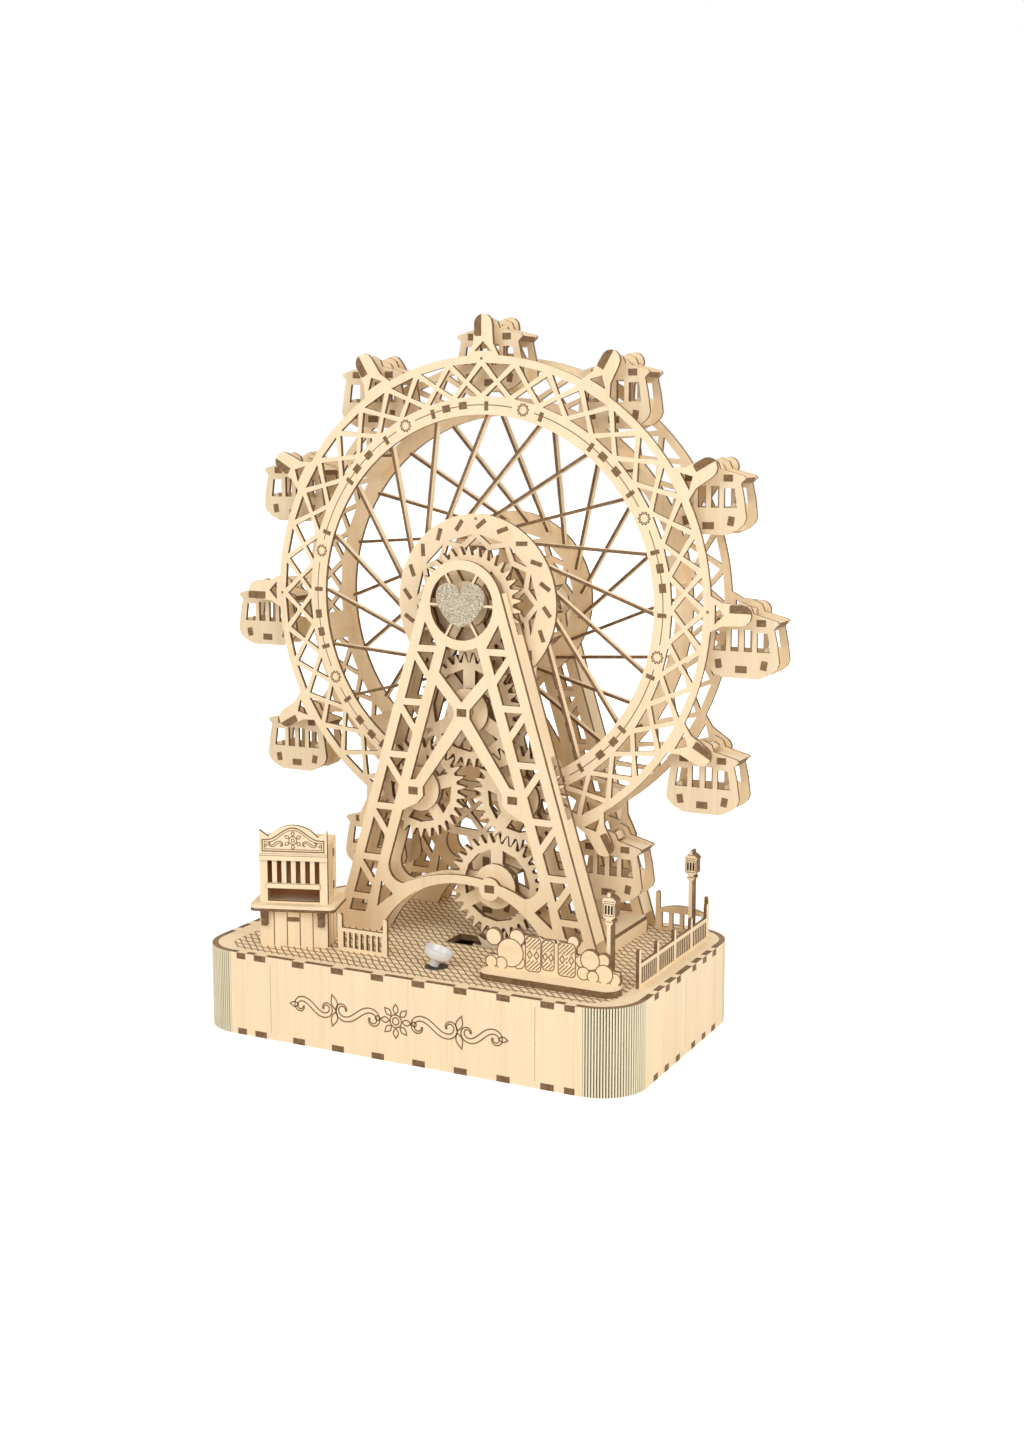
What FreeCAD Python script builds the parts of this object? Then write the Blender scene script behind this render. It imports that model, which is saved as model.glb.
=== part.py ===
import FreeCAD, Part
import math
import os
from FreeCAD import Placement, Rotation, Vector

# Hand-cranked ferris wheel toy, a laser-cut plywood kit.
# Frame: origin at the centre of the base's underside, +X to the right, -Y to the front, +Z up.
# The wheel turns about an axis along Y. Tower plates, rings and gears are flat plates whose
# outlines are drawn in the X-Z plane.

doc = FreeCAD.newDocument("ferris_wheel")

# ---------------------------------------------------------------- driving dimensions (mm)

DIMENSIONS = [
    ("base_length", 225.0), ("base_depth", 138.0), ("corner_radius", 21.0),
    ("panel_height", 40.0), ("base_ply", 3.0), ("thin_ply", 1.6), ("ply", 2.0),
    ("tab_width", 6.6), ("tab_pitch", 21.4), ("small_tab_width", 5.0),
    ("gear_slot_length", 46.0), ("gear_slot_front", 9.5), ("gear_slot_back", 6.3),
    ("crank_drop", 4.165), ("wheel_plane", 29.0), ("chord_sag", 0.05),
    ("ring_spread", 30.0), ("hub_spread", 42.4), ("tower_gap", 44.6), ("tower_depth", 13.8),
    ("foot_half_width", 71.7), ("foot_inner", 46.3), ("arch_rise", 29.1),
    ("head_radius", 21.3), ("head_opening", 16.7), ("head_disc", 6.5), ("head_spoke", 1.2),
    ("leg_width", 20.0), ("rail_width", 5.2), ("inner_rail", 5.5), ("boss_radius", 5.5),
    ("rung_width", 3.2), ("rung_pitch", 26.2), ("rung_top_drop", 21.3), ("brace_width", 4.0),
    ("strip_lift", 7.5),
    ("gear_module", 1.5), ("tooth_top", 1.9), ("tooth_depth", 2.3), ("backlash", 0.3), ("gear_clearance", 0.7),
    ("wheel_teeth", 34), ("first_teeth", 34), ("second_teeth", 30), ("fourth_teeth", 31),
    ("pinion_teeth", 16), ("side_gear_reach", 26.8), ("low_gear_reach", 12.2),
    ("gear_ply", 3.0), ("gear_standoff", 1.1), ("gear_disc_radius", 10.9),
    ("pivot_width", 5.2), ("pivot_height", 3.8), ("pivot_clearance", 0.13),
    ("band_outer", 116.2), ("band_inner", 112.6), ("rim_outer", 97.1), ("rim_inner", 88.5),
    ("lattice_nodes", 40), ("strip_width", 2.0), ("segment_joint", 7.5),
    ("cabin_count", 12), ("cabin_circle", 128.6), ("arm_tip", 135.2), ("arm_half", 4.7),
    ("arm_root_half", 8.2), ("arm_lead", 0.4),
    ("spoke_count", 20), ("spoke_hub_radius", 37.9), ("spoke_end_radius", 88.4),
    ("spoke_hub_phase", 85.7), ("spoke_end_phase", 52.4), ("spoke_width", 3.2), ("spoke_ply", 1.5),
    ("rim_panel_count", 8), ("rim_panel_width", 14.0), ("rim_panel_phase", 10.5), ("rim_panel_step", 36.0),
    ("hub_outer", 42.2), ("hub_band", 32.5), ("hub_core", 20.0), ("petal_count", 12),
    ("petal_strip", 1.6), ("hub_panel_count", 6), ("hub_panel_radius", 25.0),
    ("hub_panel_width", 15.0),
    ("shaft_radius", 3.0), ("shaft_clearance", 0.1), ("collar_radius", 6.0),
    ("cabin_pin", 3.6), ("eye_radius", 5.4), ("eye_hole", 2.75), ("cabin_half_width", 17.9),
    ("cabin_drop", 29.1), ("cabin_roof_half", 17.6), ("cabin_depth", 17.0), ("cabin_ply", 1.6),
    ("cabin_wall_reach", 10.8), ("cabin_wall_lean", 10.0),
    ("heart_half_width", 13.0), ("heart_ply", 1.5),
    ("crank_radius", 2.5), ("crank_reach", 24.0), ("crank_arm_width", 9.0),
    ("knob_radius", 4.2), ("knob_length", 15.0), ("crank_gap", 1.5), ("bracket_width", 24.0),
    ("booth_x", -68.7), ("booth_y", -49.1), ("booth_turn", 19.0), ("booth_width", 33.0),
    ("booth_cabinet_depth", 24.0), ("booth_kiosk_depth", 18.0), ("booth_counter_height", 18.0),
    ("booth_counter_overhang", 4.2), ("booth_kiosk_height", 28.0), ("booth_arch_rise", 10.0),
    ("short_fence_x", -33.9), ("short_fence_y", -42.0), ("short_fence_length", 27.0),
    ("side_fence_x", 102.0), ("side_fence_start", -34.1), ("side_fence_bay", 21.1),
    ("side_fence_bays", 4), ("rear_fence_x", 87.9), ("rear_fence_y", 58.0),
    ("rear_fence_length", 27.4), ("fence_height", 11.0), ("post_height", 17.8),
    ("rear_post_height", 19.6), ("post_half", 1.1), ("middle_post_drop", 1.6), ("rear_rail_rise", 2.2),
    ("lamp_front_x", 91.0), ("lamp_front_y", -37.6), ("lamp_rear_x", 95.0), ("lamp_rear_y", 52.0),
    ("lamp_height", 43.5), ("lamp_depth", 5.4),
    ("sign_x", 66.0), ("sign_y", -47.5), ("sign_length", 68.0), ("sign_depth", 14.0),
    ("spot_x", 7.5), ("spot_y", -46.2), ("spot_hole", 5.6), ("spot_stem", 2.2),
    ("spot_cup", 6.8), ("spot_height", 10.0), ("spot_tilt", 18.0), ("spot_heading", 27.0),
    ("platform_width", 17.0), ("platform_height", 8.0),
]

sheet = doc.addObject("Spreadsheet::Sheet", "Sizes")
for row, (alias, value) in enumerate(DIMENSIONS, start=1):
    sheet.set("A%d" % row, alias)
    sheet.set("B%d" % row, str(value))
    sheet.setAlias("B%d" % row, alias)
doc.recompute()


def size(alias):
    return float(sheet.get(alias))


def count(alias):
    return int(round(size(alias)))


# ---------------------------------------------------------------- derived places

BASE_PLY = size("base_ply")
PLY = size("ply")
HALF_LENGTH = size("base_length") / 2
HALF_DEPTH = size("base_depth") / 2
PANEL_TOP = size("panel_height")
DECK_UNDERSIDE = PANEL_TOP - BASE_PLY
DECK_TOP = PANEL_TOP
WHEEL_Y = size("wheel_plane")
MODULE = size("gear_module")


def pitch_radius(alias):
    return size(alias) * MODULE / 2


def rise_between(first, second, reach):
    """Height between two gears in mesh whose centres are reach apart sideways."""
    return math.sqrt((pitch_radius(first) + pitch_radius(second)) ** 2 - reach ** 2)


# the gear train stands on the crank, whose axle runs just under the deck
CRANK_Z = DECK_UNDERSIDE - size("crank_drop")
LOW_Z = CRANK_Z + rise_between("pinion_teeth", "fourth_teeth", 0)
SIDE_Z = LOW_Z + rise_between("fourth_teeth", "second_teeth", size("low_gear_reach"))
FIRST_Z = SIDE_Z + rise_between("second_teeth", "first_teeth", size("side_gear_reach"))
WHEEL_Z = FIRST_Z + rise_between("first_teeth", "wheel_teeth", 0)
HEAD_RISE = WHEEL_Z - DECK_TOP

# distances of the flat plates from the wheel's middle plane, outer faces
RING_FACE = size("ring_spread") / 2
HUB_FACE = size("hub_spread") / 2
INNER_PLATE_NEAR = size("tower_gap") / 2
INNER_PLATE_FAR = INNER_PLATE_NEAR + PLY
OUTER_PLATE_FAR = INNER_PLATE_NEAR + size("tower_depth")
OUTER_PLATE_NEAR = OUTER_PLATE_FAR - PLY

GEAR_BACK = WHEEL_Y - INNER_PLATE_FAR - size("gear_standoff")
GEAR_FRONT = GEAR_BACK - size("gear_ply")
FRONT_PLATE_BACK = WHEEL_Y - OUTER_PLATE_NEAR
FRONT_PLATE_FRONT = WHEEL_Y - OUTER_PLATE_FAR

parts = {}


def keep(item, label):
    item.Label = label
    parts[label] = item
    return item


# ---------------------------------------------------------------- outlines

def chords(start, through, end):
    """Points along an arc after its start. Short chords keep the facets few."""
    arc = Part.Arc(*[Vector(p[0], p[1], 0) for p in (start, through, end)]).toShape()
    radius = arc.Curve.Radius
    step = 2 * math.acos(1 - size("chord_sag") / radius)
    number = max(2, math.ceil(arc.Length / radius / step))
    return [(point.x, point.y) for point in arc.discretize(number + 1)[1:-1]] + [end]


def edges_of(path):
    """Edges of a closed path. A step is a point, or ("arc", through, end), or ("circle", centre, r)."""
    if path[0] == "circle":
        centre = Vector(path[1][0], path[1][1], 0)
        return [Part.Circle(centre, Vector(0, 0, 1), path[2])]
    points = [path[0]]
    for step in list(path[1:]) + [path[0]]:
        points += chords(points[-1], step[1], step[2]) if step[0] == "arc" else [step]
    found = []
    for here, end in zip(points, points[1:]):
        if math.dist(here, end) > 1e-6:
            found.append(Part.LineSegment(Vector(here[0], here[1], 0), Vector(end[0], end[1], 0)))
    return found


def wire_of(path):
    return Part.Wire([curve.toShape() for curve in edges_of(path)])


def plate_shape(outline, openings, thickness):
    """Flat plate in X-Y, thickness along +Z."""
    wires = [wire_of(outline)] + [wire_of(opening) for opening in openings]
    return Part.makeFace(wires, "Part::FaceMakerBullseye").extrude(Vector(0, 0, thickness))


def mirrored(path):
    """The same path on the other side of the middle line."""
    def flip(point):
        return (-point[0], point[1])
    return [("arc", flip(s[1]), flip(s[2])) if s[0] == "arc" else flip(s) for s in path]


def polar(radius, degrees):
    angle = math.radians(degrees)
    return (radius * math.cos(angle), radius * math.sin(angle))


def many_sided(radius, corners):
    """Regular polygon whose flats touch a circle of the given radius, for repeated holes and discs."""
    reach = radius / math.cos(math.pi / corners)
    return [polar(reach, (index + 0.5) * 360.0 / corners) for index in range(corners)]


def turned(path, degrees, centre=(0.0, 0.0)):
    cosine, sine = math.cos(math.radians(degrees)), math.sin(math.radians(degrees))

    def turn(point):
        return (centre[0] + point[0] * cosine - point[1] * sine,
                centre[1] + point[0] * sine + point[1] * cosine)
    return [("arc", turn(s[1]), turn(s[2])) if s[0] == "arc" else turn(s) for s in path]


def rectangle(x_low, y_low, x_high, y_high):
    return [(x_low, y_low), (x_high, y_low), (x_high, y_high), (x_low, y_high)]


def rounded_rectangle(half_x, half_y, radius):
    inset = radius * (1 - math.sqrt(0.5))
    corner = [(half_x - inset, -half_y + inset), (half_x - inset, half_y - inset),
              (-half_x + inset, half_y - inset), (-half_x + inset, -half_y + inset)]
    return [(-half_x + radius, -half_y), (half_x - radius, -half_y),
            ("arc", corner[0], (half_x, -half_y + radius)), (half_x, half_y - radius),
            ("arc", corner[1], (half_x - radius, half_y)), (-half_x + radius, half_y),
            ("arc", corner[2], (-half_x, half_y - radius)), (-half_x, -half_y + radius),
            ("arc", corner[3], (-half_x + radius, -half_y))]


# ---------------------------------------------------------------- ways to make a piece

def standing(back_y, x=0.0, z=0.0):
    """Placement of a plate drawn in X-Z whose thickness runs from back_y towards the front."""
    return Placement(Vector(x, back_y, z), Rotation(Vector(1, 0, 0), 90))


def plate_body(label, outline, openings, thickness_alias, placement):
    """A plate as a PartDesign body: a sketched outline with its openings, padded by a named size."""
    body = doc.addObject("PartDesign::Body", label)
    plane = [f for f in body.Origin.OriginFeatures if f.Role == "XY_Plane"][0]
    sketch = body.newObject("Sketcher::SketchObject", "%s_sketch" % label)
    sketch.AttachmentSupport = (plane, [""])
    sketch.MapMode = "FlatFace"
    for path in [outline] + list(openings):
        sketch.addGeometry(edges_of(path), False)
    pad = body.newObject("PartDesign::Pad", "%s_pad" % label)
    pad.Profile = sketch
    pad.setExpression("Length", "Sizes.%s" % thickness_alias)
    body.Tip = pad
    body.Placement = placement
    return body


def box(name, length, width, height, position, rotation=Rotation()):
    """A Part::Box. A size is a number or an expression on the sheet."""
    item = doc.addObject("Part::Box", name)
    for prop, value in (("Length", length), ("Width", width), ("Height", height)):
        if isinstance(value, str):
            item.setExpression(prop, value)
        else:
            setattr(item, prop, value)
    item.Placement = Placement(position, rotation)
    return item


def group(label, items):
    """Separate solids of one node, kept together."""
    compound = doc.addObject("Part::Compound", label)
    compound.Links = items
    return keep(compound, label)


def piece(name, shape, placement=Placement()):
    item = doc.addObject("Part::Feature", name)
    item.Shape = shape
    item.Placement = placement
    return item


def feature(label, shape, placement=Placement()):
    return keep(piece(label, shape, placement), label)


# ---------------------------------------------------------------- base

FLAT_HALF_LENGTH = HALF_LENGTH - size("corner_radius")
FLAT_HALF_DEPTH = HALF_DEPTH - size("corner_radius")
TAB = size("tab_width")
SMALL_TAB = size("small_tab_width")

# tab centres and widths along the long panels and along the short panels
LONG_TABS = [(side * (number + 0.5) * size("tab_pitch"), TAB) for number in range(4) for side in (-1, 1)]
LONG_TABS += [(side * (FLAT_HALF_LENGTH - SMALL_TAB - 1), SMALL_TAB) for side in (-1, 1)]
SHORT_TABS = [(side * reach * FLAT_HALF_DEPTH / 48.0, SMALL_TAB)
              for reach in (9.8, 23.4, 36.4) for side in (-1, 1)]


# the four corners of the base: side of the middle in x and in y, and the angle where its arc starts
CORNERS = ((1, 1, 0), (-1, 1, 90), (-1, -1, 180), (1, -1, 270))
CORNER_STEPS = 12


def corner_arc(corner, margin):
    """Points of a quarter circle round a corner of the base, by a margin from the outer faces."""
    sign_x, sign_y, start = corner
    points = []
    for step in range(CORNER_STEPS + 1):
        x, y = polar(size("corner_radius") - margin, start + 90.0 * step / CORNER_STEPS)
        points.append((sign_x * FLAT_HALF_LENGTH + x, sign_y * FLAT_HALF_DEPTH + y))
    return points


def floor_outline(margin):
    """Rounded rectangle that fits inside the wall panels, by a margin from their outer faces."""
    outline = []
    for corner in CORNERS:
        outline += corner_arc(corner, margin)
    return outline


def tab_shapes(bottom, height):
    """Blocks of the tabs that reach from the inner floor line to the outer faces."""
    blocks = []
    for centre, width in LONG_TABS:
        for y_low in (-HALF_DEPTH, HALF_DEPTH - BASE_PLY):
            blocks.append(Part.makeBox(width, BASE_PLY, height, Vector(centre - width / 2, y_low, bottom)))
    for centre, width in SHORT_TABS:
        for x_low in (-HALF_LENGTH, HALF_LENGTH - BASE_PLY):
            blocks.append(Part.makeBox(BASE_PLY, width, height, Vector(x_low, centre - width / 2, bottom)))
    return blocks


SLOT_HALF = size("gear_slot_length") / 2


def gear_slot():
    middle = low_gear_centre()[0]
    return rectangle(middle - SLOT_HALF, -size("gear_slot_front"), middle + SLOT_HALF, size("gear_slot_back"))


# gear centres: x right, z up from the underside of the base
def first_gear_centre():
    return (0.0, FIRST_Z)


def side_gear_centre(side):
    return (side * size("side_gear_reach"), SIDE_Z)


def low_gear_centre():
    return (size("side_gear_reach") - size("low_gear_reach"), LOW_Z)


def pinion_centre():
    return (low_gear_centre()[0], CRANK_Z)


def spot_hole():
    return [(size("spot_x") + x, size("spot_y") + y) for x, y in many_sided(size("spot_hole"), 32)]


def base_panels():
    floor = plate_shape(floor_outline(BASE_PLY), [], BASE_PLY)
    floor = floor.multiFuse(tab_shapes(0, BASE_PLY)).removeSplitter()
    feature("base_floor", floor)
    deck = plate_shape(floor_outline(BASE_PLY), [gear_slot(), spot_hole()], BASE_PLY)
    deck = deck.multiFuse(tab_shapes(0, BASE_PLY)).removeSplitter()
    feature("base_deck", deck, Placement(Vector(0, 0, DECK_UNDERSIDE), Rotation()))

    cutters = tab_shapes(0, BASE_PLY) + tab_shapes(DECK_UNDERSIDE, BASE_PLY)
    crank_x, crank_z = pinion_centre()
    hole = Part.makeCylinder(size("crank_radius") + size("shaft_clearance"), 3 * BASE_PLY,
                             Vector(crank_x, HALF_DEPTH - 2 * BASE_PLY, crank_z), Vector(0, 1, 0))
    panel_sizes = {
        "base_front_panel": (2 * FLAT_HALF_LENGTH, BASE_PLY, -FLAT_HALF_LENGTH, -HALF_DEPTH),
        "base_rear_panel": (2 * FLAT_HALF_LENGTH, BASE_PLY, -FLAT_HALF_LENGTH, HALF_DEPTH - BASE_PLY),
        "base_left_panel": (BASE_PLY, 2 * FLAT_HALF_DEPTH, -HALF_LENGTH, -FLAT_HALF_DEPTH),
        "base_right_panel": (BASE_PLY, 2 * FLAT_HALF_DEPTH, HALF_LENGTH - BASE_PLY, -FLAT_HALF_DEPTH),
    }
    for label, (length, width, x_low, y_low) in panel_sizes.items():
        panel = Part.makeBox(length, width, PANEL_TOP, Vector(x_low, y_low, 0))
        tools = [tool for tool in cutters if tool.distToShape(panel)[0] < 1e-6]
        if label == "base_rear_panel":
            tools.append(hole)
        feature(label, panel.cut(tools))


def base_corners():
    """Four bent corner walls."""
    walls = []
    for corner in CORNERS:
        path = corner_arc(corner, 0) + corner_arc(corner, BASE_PLY)[::-1]
        walls.append(piece("corner_wall_%d" % corner[2], plate_shape(path, [], PANEL_TOP)))
    group("base_corner_walls", walls)


# ---------------------------------------------------------------- towers

def tower_tangent():
    """Angle of the leg's outward normal where it touches the head circle."""
    half, rise, radius = size("foot_half_width"), HEAD_RISE, size("head_radius")
    return math.atan2(-rise, half) + math.acos(radius / math.hypot(half, rise))


LEAN = tower_tangent()
HEAD_TANGENT = (size("head_radius") * math.cos(LEAN), HEAD_RISE + size("head_radius") * math.sin(LEAN))


def leg_outer(height):
    """Half width of the tower's outline at a height over the deck."""
    return size("foot_half_width") - height * math.tan(LEAN)


def leg_inner(height):
    return leg_outer(height) - size("leg_width")


def tower_outline():
    right, left = HEAD_TANGENT, (-HEAD_TANGENT[0], HEAD_TANGENT[1])
    foot, inner = size("foot_half_width"), size("foot_inner")
    return [(foot, 0), right, ("arc", (0, HEAD_RISE + size("head_radius")), left), (-foot, 0),
            (-inner, 0), ("arc", (0, size("arch_rise")), (inner, 0))]


def ladder_openings():
    """Openings of the right leg: rungs with a brace that runs from under each rung inwards."""
    def outer(height):
        return leg_outer(height) - size("rail_width")

    def inner(height):
        return leg_inner(height) + size("inner_rail")

    half_rung = size("rung_width") / 2
    first = HEAD_RISE - size("rung_top_drop")
    rungs = [first - number * size("rung_pitch") for number in range(5)]
    rungs.append(rungs[-1] - 0.78 * size("rung_pitch"))
    span = size("leg_width") - size("rail_width") - size("inner_rail")
    above = first + half_rung
    top = 0.39 * size("head_radius")
    openings = [[(outer(above), above), (outer(HEAD_RISE - top), HEAD_RISE - top),
                 (0.62 * size("head_radius"), above)]]
    for upper, lower in zip(rungs, rungs[1:]):
        start, end = upper - half_rung, lower + half_rung
        openings.append([(outer(start), start), (inner(start), start), (inner(start - span), start - span)])
        edge = start - size("brace_width")
        if edge - span > end:
            openings.append([(outer(edge), edge), (inner(edge - span), edge - span),
                             (inner(end), end), (outer(end), end)])
    start = rungs[-1] - half_rung
    end = start - 1.9 * half_rung * 2
    openings.append([(outer(start), start), (inner(start), start), (inner(end), end), (outer(end), end)])
    return openings


def tower_openings():
    first = (first_gear_centre()[0], first_gear_centre()[1] - DECK_TOP)
    side = (side_gear_centre(1)[0], side_gear_centre(1)[1] - DECK_TOP)
    head, junction = size("head_radius"), first[1] + 18.7
    ring_foot = 0.39 * head
    ring_z = HEAD_RISE - math.sqrt(head ** 2 - ring_foot ** 2)
    kite = [(-ring_foot, ring_z), ("arc", (0, HEAD_RISE - head), (ring_foot, ring_z)),
            (leg_inner(junction), junction), (first[0], first[1] + 5), (-leg_inner(junction), junction)]
    upper, lower = junction - 6.2, side[1] + 5.2
    flank = [(leg_inner(upper), upper), (first[0] + 4.2, first[1] + 1.5), (first[0] + 4.2, first[1] - 2.6),
             (side[0] - 1.5, side[1] + 5.8), (leg_inner(lower), lower)]
    corner, boss_foot = 0.5 * side[1], side[1] - 10.2
    shoulder_rise = 0.876 * size("arch_rise")
    shoulder = (leg_inner(shoulder_rise) - 10.8, shoulder_rise)
    half = [(side[0] - 5.3, side[1] + 2.3), (side[0] - 5.5, side[1] - 2.2), (side[0] - 2.3, side[1] - 5.8),
            (leg_inner(boss_foot), boss_foot), (leg_inner(corner), corner)]
    bend = (leg_inner(corner) - 1.2, corner - 7.0)
    window = [(first[0], first[1] - 8)] + half + [("arc", bend, shoulder),
              ("arc", (0, size("arch_rise") + 4), (-shoulder[0], shoulder[1])),
              ("arc", (-bend[0], bend[1]), (-leg_inner(corner), corner))]
    window += [(-x, z) for x, z in reversed(half[:-1])]
    web = [(leg_inner(rise * size("arch_rise")) + inwards, rise * size("arch_rise"))
           for rise, inwards in ((0.88, 1.3), (0.42, -0.1), (0.67, -7.3))]
    ladders = ladder_openings() + [web, flank]
    return [kite, window] + ladders + [mirrored(path) for path in ladders]


def pivot_slots():
    half_x, half_z = size("pivot_width") / 2, size("pivot_height") / 2
    slots = []
    for x, z in (first_gear_centre(), side_gear_centre(-1), side_gear_centre(1), low_gear_centre()):
        slots.append(rectangle(x - half_x, z - DECK_TOP - half_z, x + half_x, z - DECK_TOP + half_z))
    return slots


def head_windows():
    """Six openings between the thin strips that carry the emblem."""
    windows = []
    half = math.degrees(size("head_spoke") / 2 / size("head_opening"))
    near = math.degrees(size("head_spoke") / 2 / size("head_disc"))
    sixth, steps = 60.0, 5
    for number in range(6):
        start = sixth * number
        path = [polar(size("head_disc"), start + near)]
        path += [polar(size("head_opening"), start + half + (sixth - 2 * half) * step / steps)
                 for step in range(steps + 1)]
        path.append(polar(size("head_disc"), start + sixth - near))
        windows.append([shift(point) for point in path])
    return windows


def shift(point):
    return (point[0], point[1] + HEAD_RISE)


def towers():
    low = low_gear_centre()
    boss = [(low[0] + x, low[1] - DECK_TOP + z) for x, z in many_sided(size("boss_radius"), 24)]
    pivots = pivot_slots()
    shaft = [shift(point) for point in many_sided(size("shaft_radius") + size("shaft_clearance"), 16)]
    plates = [
        ("front_tower_outer_plate", WHEEL_Y - OUTER_PLATE_NEAR, head_windows(), pivots),
        ("front_tower_inner_plate", WHEEL_Y - INNER_PLATE_NEAR, [shaft], pivots),
        ("rear_tower_inner_plate", WHEEL_Y + INNER_PLATE_FAR, [shaft], []),
        ("rear_tower_outer_plate", WHEEL_Y + OUTER_PLATE_FAR, head_windows(), []),
    ]
    for label, back, head, slots in plates:
        tower_plate(label, tower_openings() + head, back, boss, slots)

    for label, near, cleared in (("front_tower_side_strips", -OUTER_PLATE_NEAR, True),
                                 ("rear_tower_side_strips", INNER_PLATE_FAR, False)):
        side_strips(label, WHEEL_Y + near, cleared)


def along_leg(x, z):
    """Distance up the leg's outer edge from its foot, and inwards from that edge, of a point of the plate."""
    sine, cosine = math.sin(LEAN), math.cos(LEAN)
    away, rise = size("foot_half_width") - x, z - DECK_TOP
    return away * sine + rise * cosine, away * cosine - rise * sine


def strip_notches():
    """Stretches of the front strips that are cut back for gears, as (start, end) up the leg."""
    notches = []
    for (x, z), teeth in ((side_gear_centre(1), "second_teeth"), ((0.0, WHEEL_Z), "wheel_teeth")):
        up, inwards = along_leg(x, z)
        reach = pitch_radius(teeth) + size("tooth_top") + size("gear_clearance")
        half = math.sqrt(reach ** 2 - (inwards - PLY) ** 2)
        notches.append((up - half, up + half))
    return notches


def side_strips(label, front_y, cleared):
    """The two strips that close the outer sides of a tower, on edge between its plates."""
    width = size("tower_depth") - 2 * PLY
    start = size("strip_lift") / math.cos(LEAN)
    end = math.hypot(size("foot_half_width") - HEAD_TANGENT[0], HEAD_TANGENT[1])
    path = [(0, start), (width, start)]
    if cleared:
        edge = GEAR_FRONT - size("gear_clearance") - front_y
        for low, high in strip_notches():
            path += [(width, low), (edge, low)]
            path += [(edge, min(high, end))] + ([(width, high)] if high < end else [])
    if path[-1][0] == width:
        path.append((width, end))
    path.append((0, end))
    strips = []
    shape = plate_shape(path, [], PLY)
    depth = Vector(0, 1, 0)
    for side, name in ((-1, "left"), (1, "right")):
        # drawn in y and up the leg; its thickness runs towards +X and stays inside the leg's edge
        up = Vector(-side * math.sin(LEAN), 0, math.cos(LEAN))
        across = depth.cross(up)
        foot = Vector(side * size("foot_half_width"), front_y, DECK_TOP)
        if side > 0:
            foot -= across * PLY
        strips.append(piece("%s_%s" % (label, name), shape, Placement(foot, Rotation(depth, up, across, "ZXY"))))
    group(label, strips)


def tower_plate(label, openings, back, boss, slots):
    """A tower plate; with gear slots it also gets the boss that widens the arch round the lowest one."""
    shape = plate_shape(tower_outline(), openings, PLY)
    if slots:
        shape = shape.fuse(plate_shape(boss, [], PLY)).removeSplitter()
    for slot in slots:
        shape = shape.cut(plate_shape(slot, [], PLY))
    if shape.ShapeType == "Compound":
        shape = shape.Solids[0]
    feature(label, shape, standing(back, 0, DECK_TOP))


def heart():
    """Flat heart on the head of each tower, drawn with two arcs over a point."""
    half = size("heart_half_width")
    low, notch, lobe = (0, -0.80 * half), (0, 0.42 * half), 0.5 * half
    right = [(0.0, notch[1]), ("arc", (lobe, 0.80 * half), (0.98 * half, 0.30 * half)),
             ("arc", (0.80 * half, -0.20 * half), low)]
    left = [("arc", (-0.80 * half, -0.20 * half), (-0.98 * half, 0.30 * half)),
            ("arc", (-lobe, 0.80 * half), (0.0, notch[1]))]
    path = right + left
    keep(plate_body("heart_emblem", path, [], "heart_ply", standing(FRONT_PLATE_FRONT, 0, WHEEL_Z)),
         "heart_emblem")


# ---------------------------------------------------------------- gears

def tooth_path(teeth, phase, pitch):
    """Closed outline of straight-flanked, tall teeth; phase is the angle of the first tooth."""
    step = 360.0 / teeth
    root, tip = pitch - size("tooth_depth"), pitch + size("tooth_top")
    slack = math.degrees(size("backlash") / 2 / pitch)
    path = []
    for number in range(teeth):
        middle = phase + number * step
        for radius, share in ((root, -0.37), (tip, -0.09), (tip, 0.09), (root, 0.37)):
            lean = math.copysign(slack, share)
            path.append(polar(radius, middle + share * step - lean))
    return path


def mesh_phase(driver, follower):
    """Phase of the follower's first tooth, in mesh with the driver at rest."""
    (dx, dz, driver_teeth, driver_phase) = driver
    (fx, fz, follower_teeth) = follower
    towards = math.degrees(math.atan2(fz - dz, fx - dx))
    share = ((towards - driver_phase) / (360.0 / driver_teeth)) % 1.0
    return towards + 180.0 - (0.5 - share) * 360.0 / follower_teeth


def kidney_windows(inner, outer, number, bar, phase):
    """Openings between the hub and the rim of a gear, parted by straight bars."""
    windows = []
    near, far = math.degrees(bar / 2 / inner), math.degrees(bar / 2 / outer)
    steps = max(1, round(12 / number))
    for index in range(number):
        start, end = phase + index * 360.0 / number, phase + (index + 1) * 360.0 / number
        window = [polar(outer, start + far + (end - start - 2 * far) * share / steps)
                  for share in range(steps + 1)]
        window += [polar(inner, end - near), polar(inner, (start + end) / 2), polar(inner, start + near)]
        windows.append(window)
    return windows


def gear_solids(teeth, phase, bore, windows, disc_radius):
    pitch = teeth * MODULE / 2
    wheel = plate_shape(tooth_path(teeth, phase, pitch), [many_sided(bore, 12)] + windows,
                        size("gear_ply"))
    solids = [wheel]
    if disc_radius:
        disc = plate_shape(many_sided(disc_radius, 24), [many_sided(bore, 12)], PLY)
        disc.translate(Vector(0, 0, size("gear_ply")))
        solids.append(disc)
    return Part.makeCompound(solids)


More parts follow.
